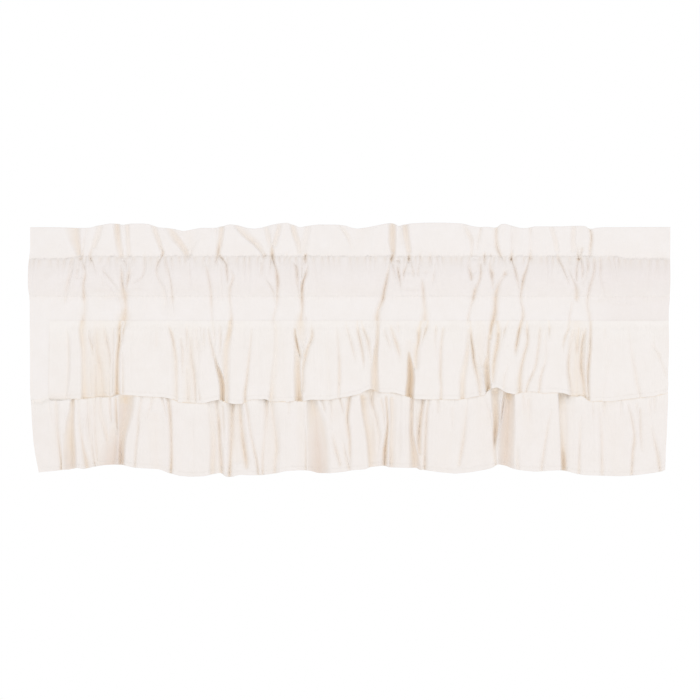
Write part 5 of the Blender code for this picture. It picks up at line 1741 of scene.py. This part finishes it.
@dataclass(frozen=True)
class Studio:
    """Camera, soft lights, world and floor.

    Attributes:
        frame_width: Width that the camera takes in at the cloth, in metres.
        distance: From the camera to the cloth.
        aim_height: Height of the camera, which looks level.
        floor_drop: How far the floor lies below the origin.
        floor_radius: Radius of the round floor.
        glow: Strength of the even light from all round.
        tint: Colour of all the light.
        lamps: The soft lights.
        lamp_aim: The point that they look at.
    """

    frame_width: float = 1.162
    distance: float = 6.5
    aim_height: float = -0.2058
    floor_drop: float = 1.35
    floor_radius: float = 2.4
    glow: float = 0.94
    tint: Triple = (0.898, 0.924, 1.0)
    lamps: tuple[Lamp, ...] = (
        Lamp("right", (2.3, -3.6, -1.0), 1.9, 26.0),
        Lamp("left", (-2.3, -3.6, -1.0), 2.1, 21.0),
        Lamp("back", (0.0, 3.0, 0.8), 2.4, 12.0),
    )
    lamp_aim: Triple = (0.0, 0.0, -0.2)

    def build(self) -> None:
        """Sets up the whole stage."""
        self._camera()
        for lamp in self.lamps:
            self._light(lamp)
        self._world()
        self._floor()

    def _camera(self) -> None:
        """A level camera on the face's side, far enough off to see it nearly square."""
        camera = bpy.data.cameras.new("camera")
        camera.sensor_width = 36.0
        camera.lens = 36.0 * self.distance / self.frame_width
        camera.clip_end = 100.0
        holder = placed("camera", camera)
        holder.location = (0.0, -self.distance, self.aim_height)
        holder.rotation_euler = (math.radians(90.0), 0.0, 0.0)
        bpy.context.scene.camera = holder

    def _light(self, lamp: Lamp) -> None:
        """One soft light, turned to the cloth.

        Args:
            lamp: Its name, place, size and power.
        """
        light = bpy.data.lights.new(lamp.name, "AREA")
        light.shape = "DISK"
        light.size = lamp.size
        light.energy = lamp.power
        light.color = self.tint
        holder = placed(lamp.name, light)
        holder.location = lamp.place
        aim = np.array(self.lamp_aim) - np.array(lamp.place)
        tilt, turn = math.acos(-aim[2] / np.linalg.norm(aim)), math.atan2(aim[1], aim[0])
        holder.rotation_euler = (tilt, 0.0, turn - math.pi / 2.0)

    def _world(self) -> None:
        """White to the camera, and an even soft glow to everything else."""
        world = bpy.data.worlds.new("studio")
        world.use_nodes = True
        bpy.context.scene.world = world
        tree = world.node_tree
        glow = tree.nodes["Background"]
        glow.inputs["Color"].default_value = (*self.tint, 1.0)
        glow.inputs["Strength"].default_value = self.glow
        white = add_node(tree, "Background", {"Color": (1.0, 1.0, 1.0, 1.0), "Strength": 1.0}).outputs[0]
        seen = add_node(tree, "LightPath").outputs["Is Camera Ray"]
        both = add_node(tree, "MixShader", {0: seen, 1: glow.outputs[0], 2: white})
        tree.links.new(both.outputs[0], tree.nodes["World Output"].inputs[0])

    def _floor(self) -> None:
        """A pale round floor well below the cloth."""
        rings = np.array([0.0, 0.5, 0.8, 0.95, 1.0])[:, None] * self.floor_radius
        turn = np.linspace(0.0, 2.0 * math.pi, 97)
        across, along = rings * np.cos(turn), rings * np.sin(turn)
        points = np.stack([across, along, np.full_like(across, -self.floor_drop)], axis=-1)
        floor = grid_mesh("floor", points, points[..., :2])
        material, _, shader = new_material("Pale floor")
        shader.inputs["Base Color"].default_value = (0.86, 0.86, 0.86, 1.0)
        shader.inputs["Roughness"].default_value = 0.8
        floor.data.materials.append(material)


def dress(piece: Object, material: Material, node: str) -> None:
    """Gives a piece its finish and its body, hides the CAD node that it stands for, and reports it.

    Args:
        piece: The piece.
        material: Its finish.
        node: The CAD node that it stands for.
    """
    piece.data.materials.append(material)
    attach(piece, "root")
    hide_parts(node)
    LOG.info("%s: %d faces, stands for %s", piece.name, len(piece.data.polygons), node)


def upper_ruffle(hung: HungCloth) -> Ruffle:
    """The ruffle sewn on the body's face, whose left edge lies close on the body.

    Args:
        hung: The cloth that it is sewn on.

    Returns:
        The ruffle, ready to build.
    """
    return Ruffle(
        name="upper_ruffle_cloth",
        relief=Relief(UPPER_LINES, UPPER_RECESSES, spread=1.75),
        seam_edge=UPPER_SEAM_EDGE,
        hem_edge=UPPER_HEM,
        left_side=UPPER_LEFT_SIDE,
        planes=((0.0, 11.6), (0.1, 13.6), (0.25, 17.0), (0.5, 20.5), (0.75, 22.2), (1.0, 23.0)),
        follows_seam=0.14,
        tucked=60.0,
        fine=Puckers(21, 3.6, 9.0, 1.7, 34.0, 4.0),
        soft=Puckers(22, 9.0, 30.0, 1.9, 190.0, 9.0),
        rumple=Ripple(23, 0.6, 95.0, 20.0, 0.55),
        behind_it=hung.face_depth,
        # Painted grey shade over the whole ruffle
        gathered=0.17,
    )


def lower_ruffle(hung: HungCloth, upper: Ruffle) -> Ruffle:
    """The ruffle sewn to the body's lower edge, which the upper one hangs over.

    Args:
        hung: The cloth that it is sewn to.
        upper: The upper ruffle.

    Returns:
        The ruffle, ready to build.
    """
    return Ruffle(
        name="lower_ruffle_cloth",
        relief=Relief(LOWER_LINES, LOWER_RECESSES, spread=1.75),
        seam_edge=BASE_EDGE,
        hem_edge=LOWER_HEM,
        left_side=LEFT_SIDE,
        planes=(
            (0.0, 14.0), (0.04, 19.0), (0.08, 21.2), (0.25, 21.4), (0.5, 21.4), (0.75, 21.5), (1.0, 21.8)
        ),
        follows_seam=0.06,
        tucked=0.0,
        fine=Puckers(31, 3.6, 9.0, 1.7, 38.0, 4.0),
        soft=Puckers(32, 9.0, 28.0, 1.9, 190.0, 9.0),
        rumple=Ripple(33, 0.6, 95.0, 20.0, 0.55),
        behind_it=hung.edge_depth,
        # Painted grey shade over the whole ruffle, and grey painted shade in its wide hollows
        gathered=0.27,
        under_it=upper,
        grey_wide_shade=1.0,
    )


def main() -> None:
    """Builds the valance piece by piece, dresses its cloths and their stitches, and sets the stage."""
    logging.basicConfig(level=logging.INFO, format="%(name)s: %(message)s", stream=sys.stdout)
    weave, crumple = weave_group(), crumple_group()
    face = CottonFinish("Cotton face", Tone.FACE).build(weave, crumple)
    # The ruffles' cotton: its lighter tone is painted light, and its fold shade is painted warmer
    ruffle = CottonFinish("Cotton ruffle", Tone.LIT_RUFFLE, fold_shade_tint=(0.94, 0.835, 0.69)).build(weave, crumple)
    thread = thread_finish()
    hung = HungCloth()
    heading, heading_face = Heading(hung).build()
    body = BodyPanel(hung).build()
    over = upper_ruffle(hung)
    upper, upper_face = over.build()
    lower, lower_face = lower_ruffle(hung, over).build()

    stitches = {
        "heading": [
            path_across(heading_face, edge_height(HEADER_EDGE, heading_face[0, :, 0] / MM) * MM),
            path_across(heading_face, (POCKET_STITCH + 0.8) * MM),
        ],
        "upper_ruffle": [path_across(upper_face, upper_face[-1, :, 2] + HEM_STITCH * MM)],
        "lower_ruffle": [path_across(lower_face, lower_face[-1, :, 2] + HEM_STITCH * MM)],
    }
    cloths = (
        (heading, face, "heading", "heading_cotton", (1.524, 0.232), "gathered", []),
        (body, face, "body_panel", "body_cotton", (1.524, 0.155), "hung", ["heading"]),
        (upper, ruffle, "upper_ruffle", "ruffle_cotton", (1.600, 0.140), "gathered", ["body_panel"]),
        (lower, ruffle, "lower_ruffle", "ruffle_cotton", (1.600, 0.150), "gathered", ["body_panel"]),
    )
    for cloth, material, node, slot, flat, held, rests_on in cloths:
        dress(cloth, material, node)
        sewn = []
        if node in stitches:
            sewn = [stitch_mesh(f"{node}_stitches", stitches[node], StitchRun())]
            dress(sewn[0], thread, node)
    Studio().build()
    bpy.context.scene.view_settings.view_transform = "Standard"


if __name__ == "__main__":
    main()
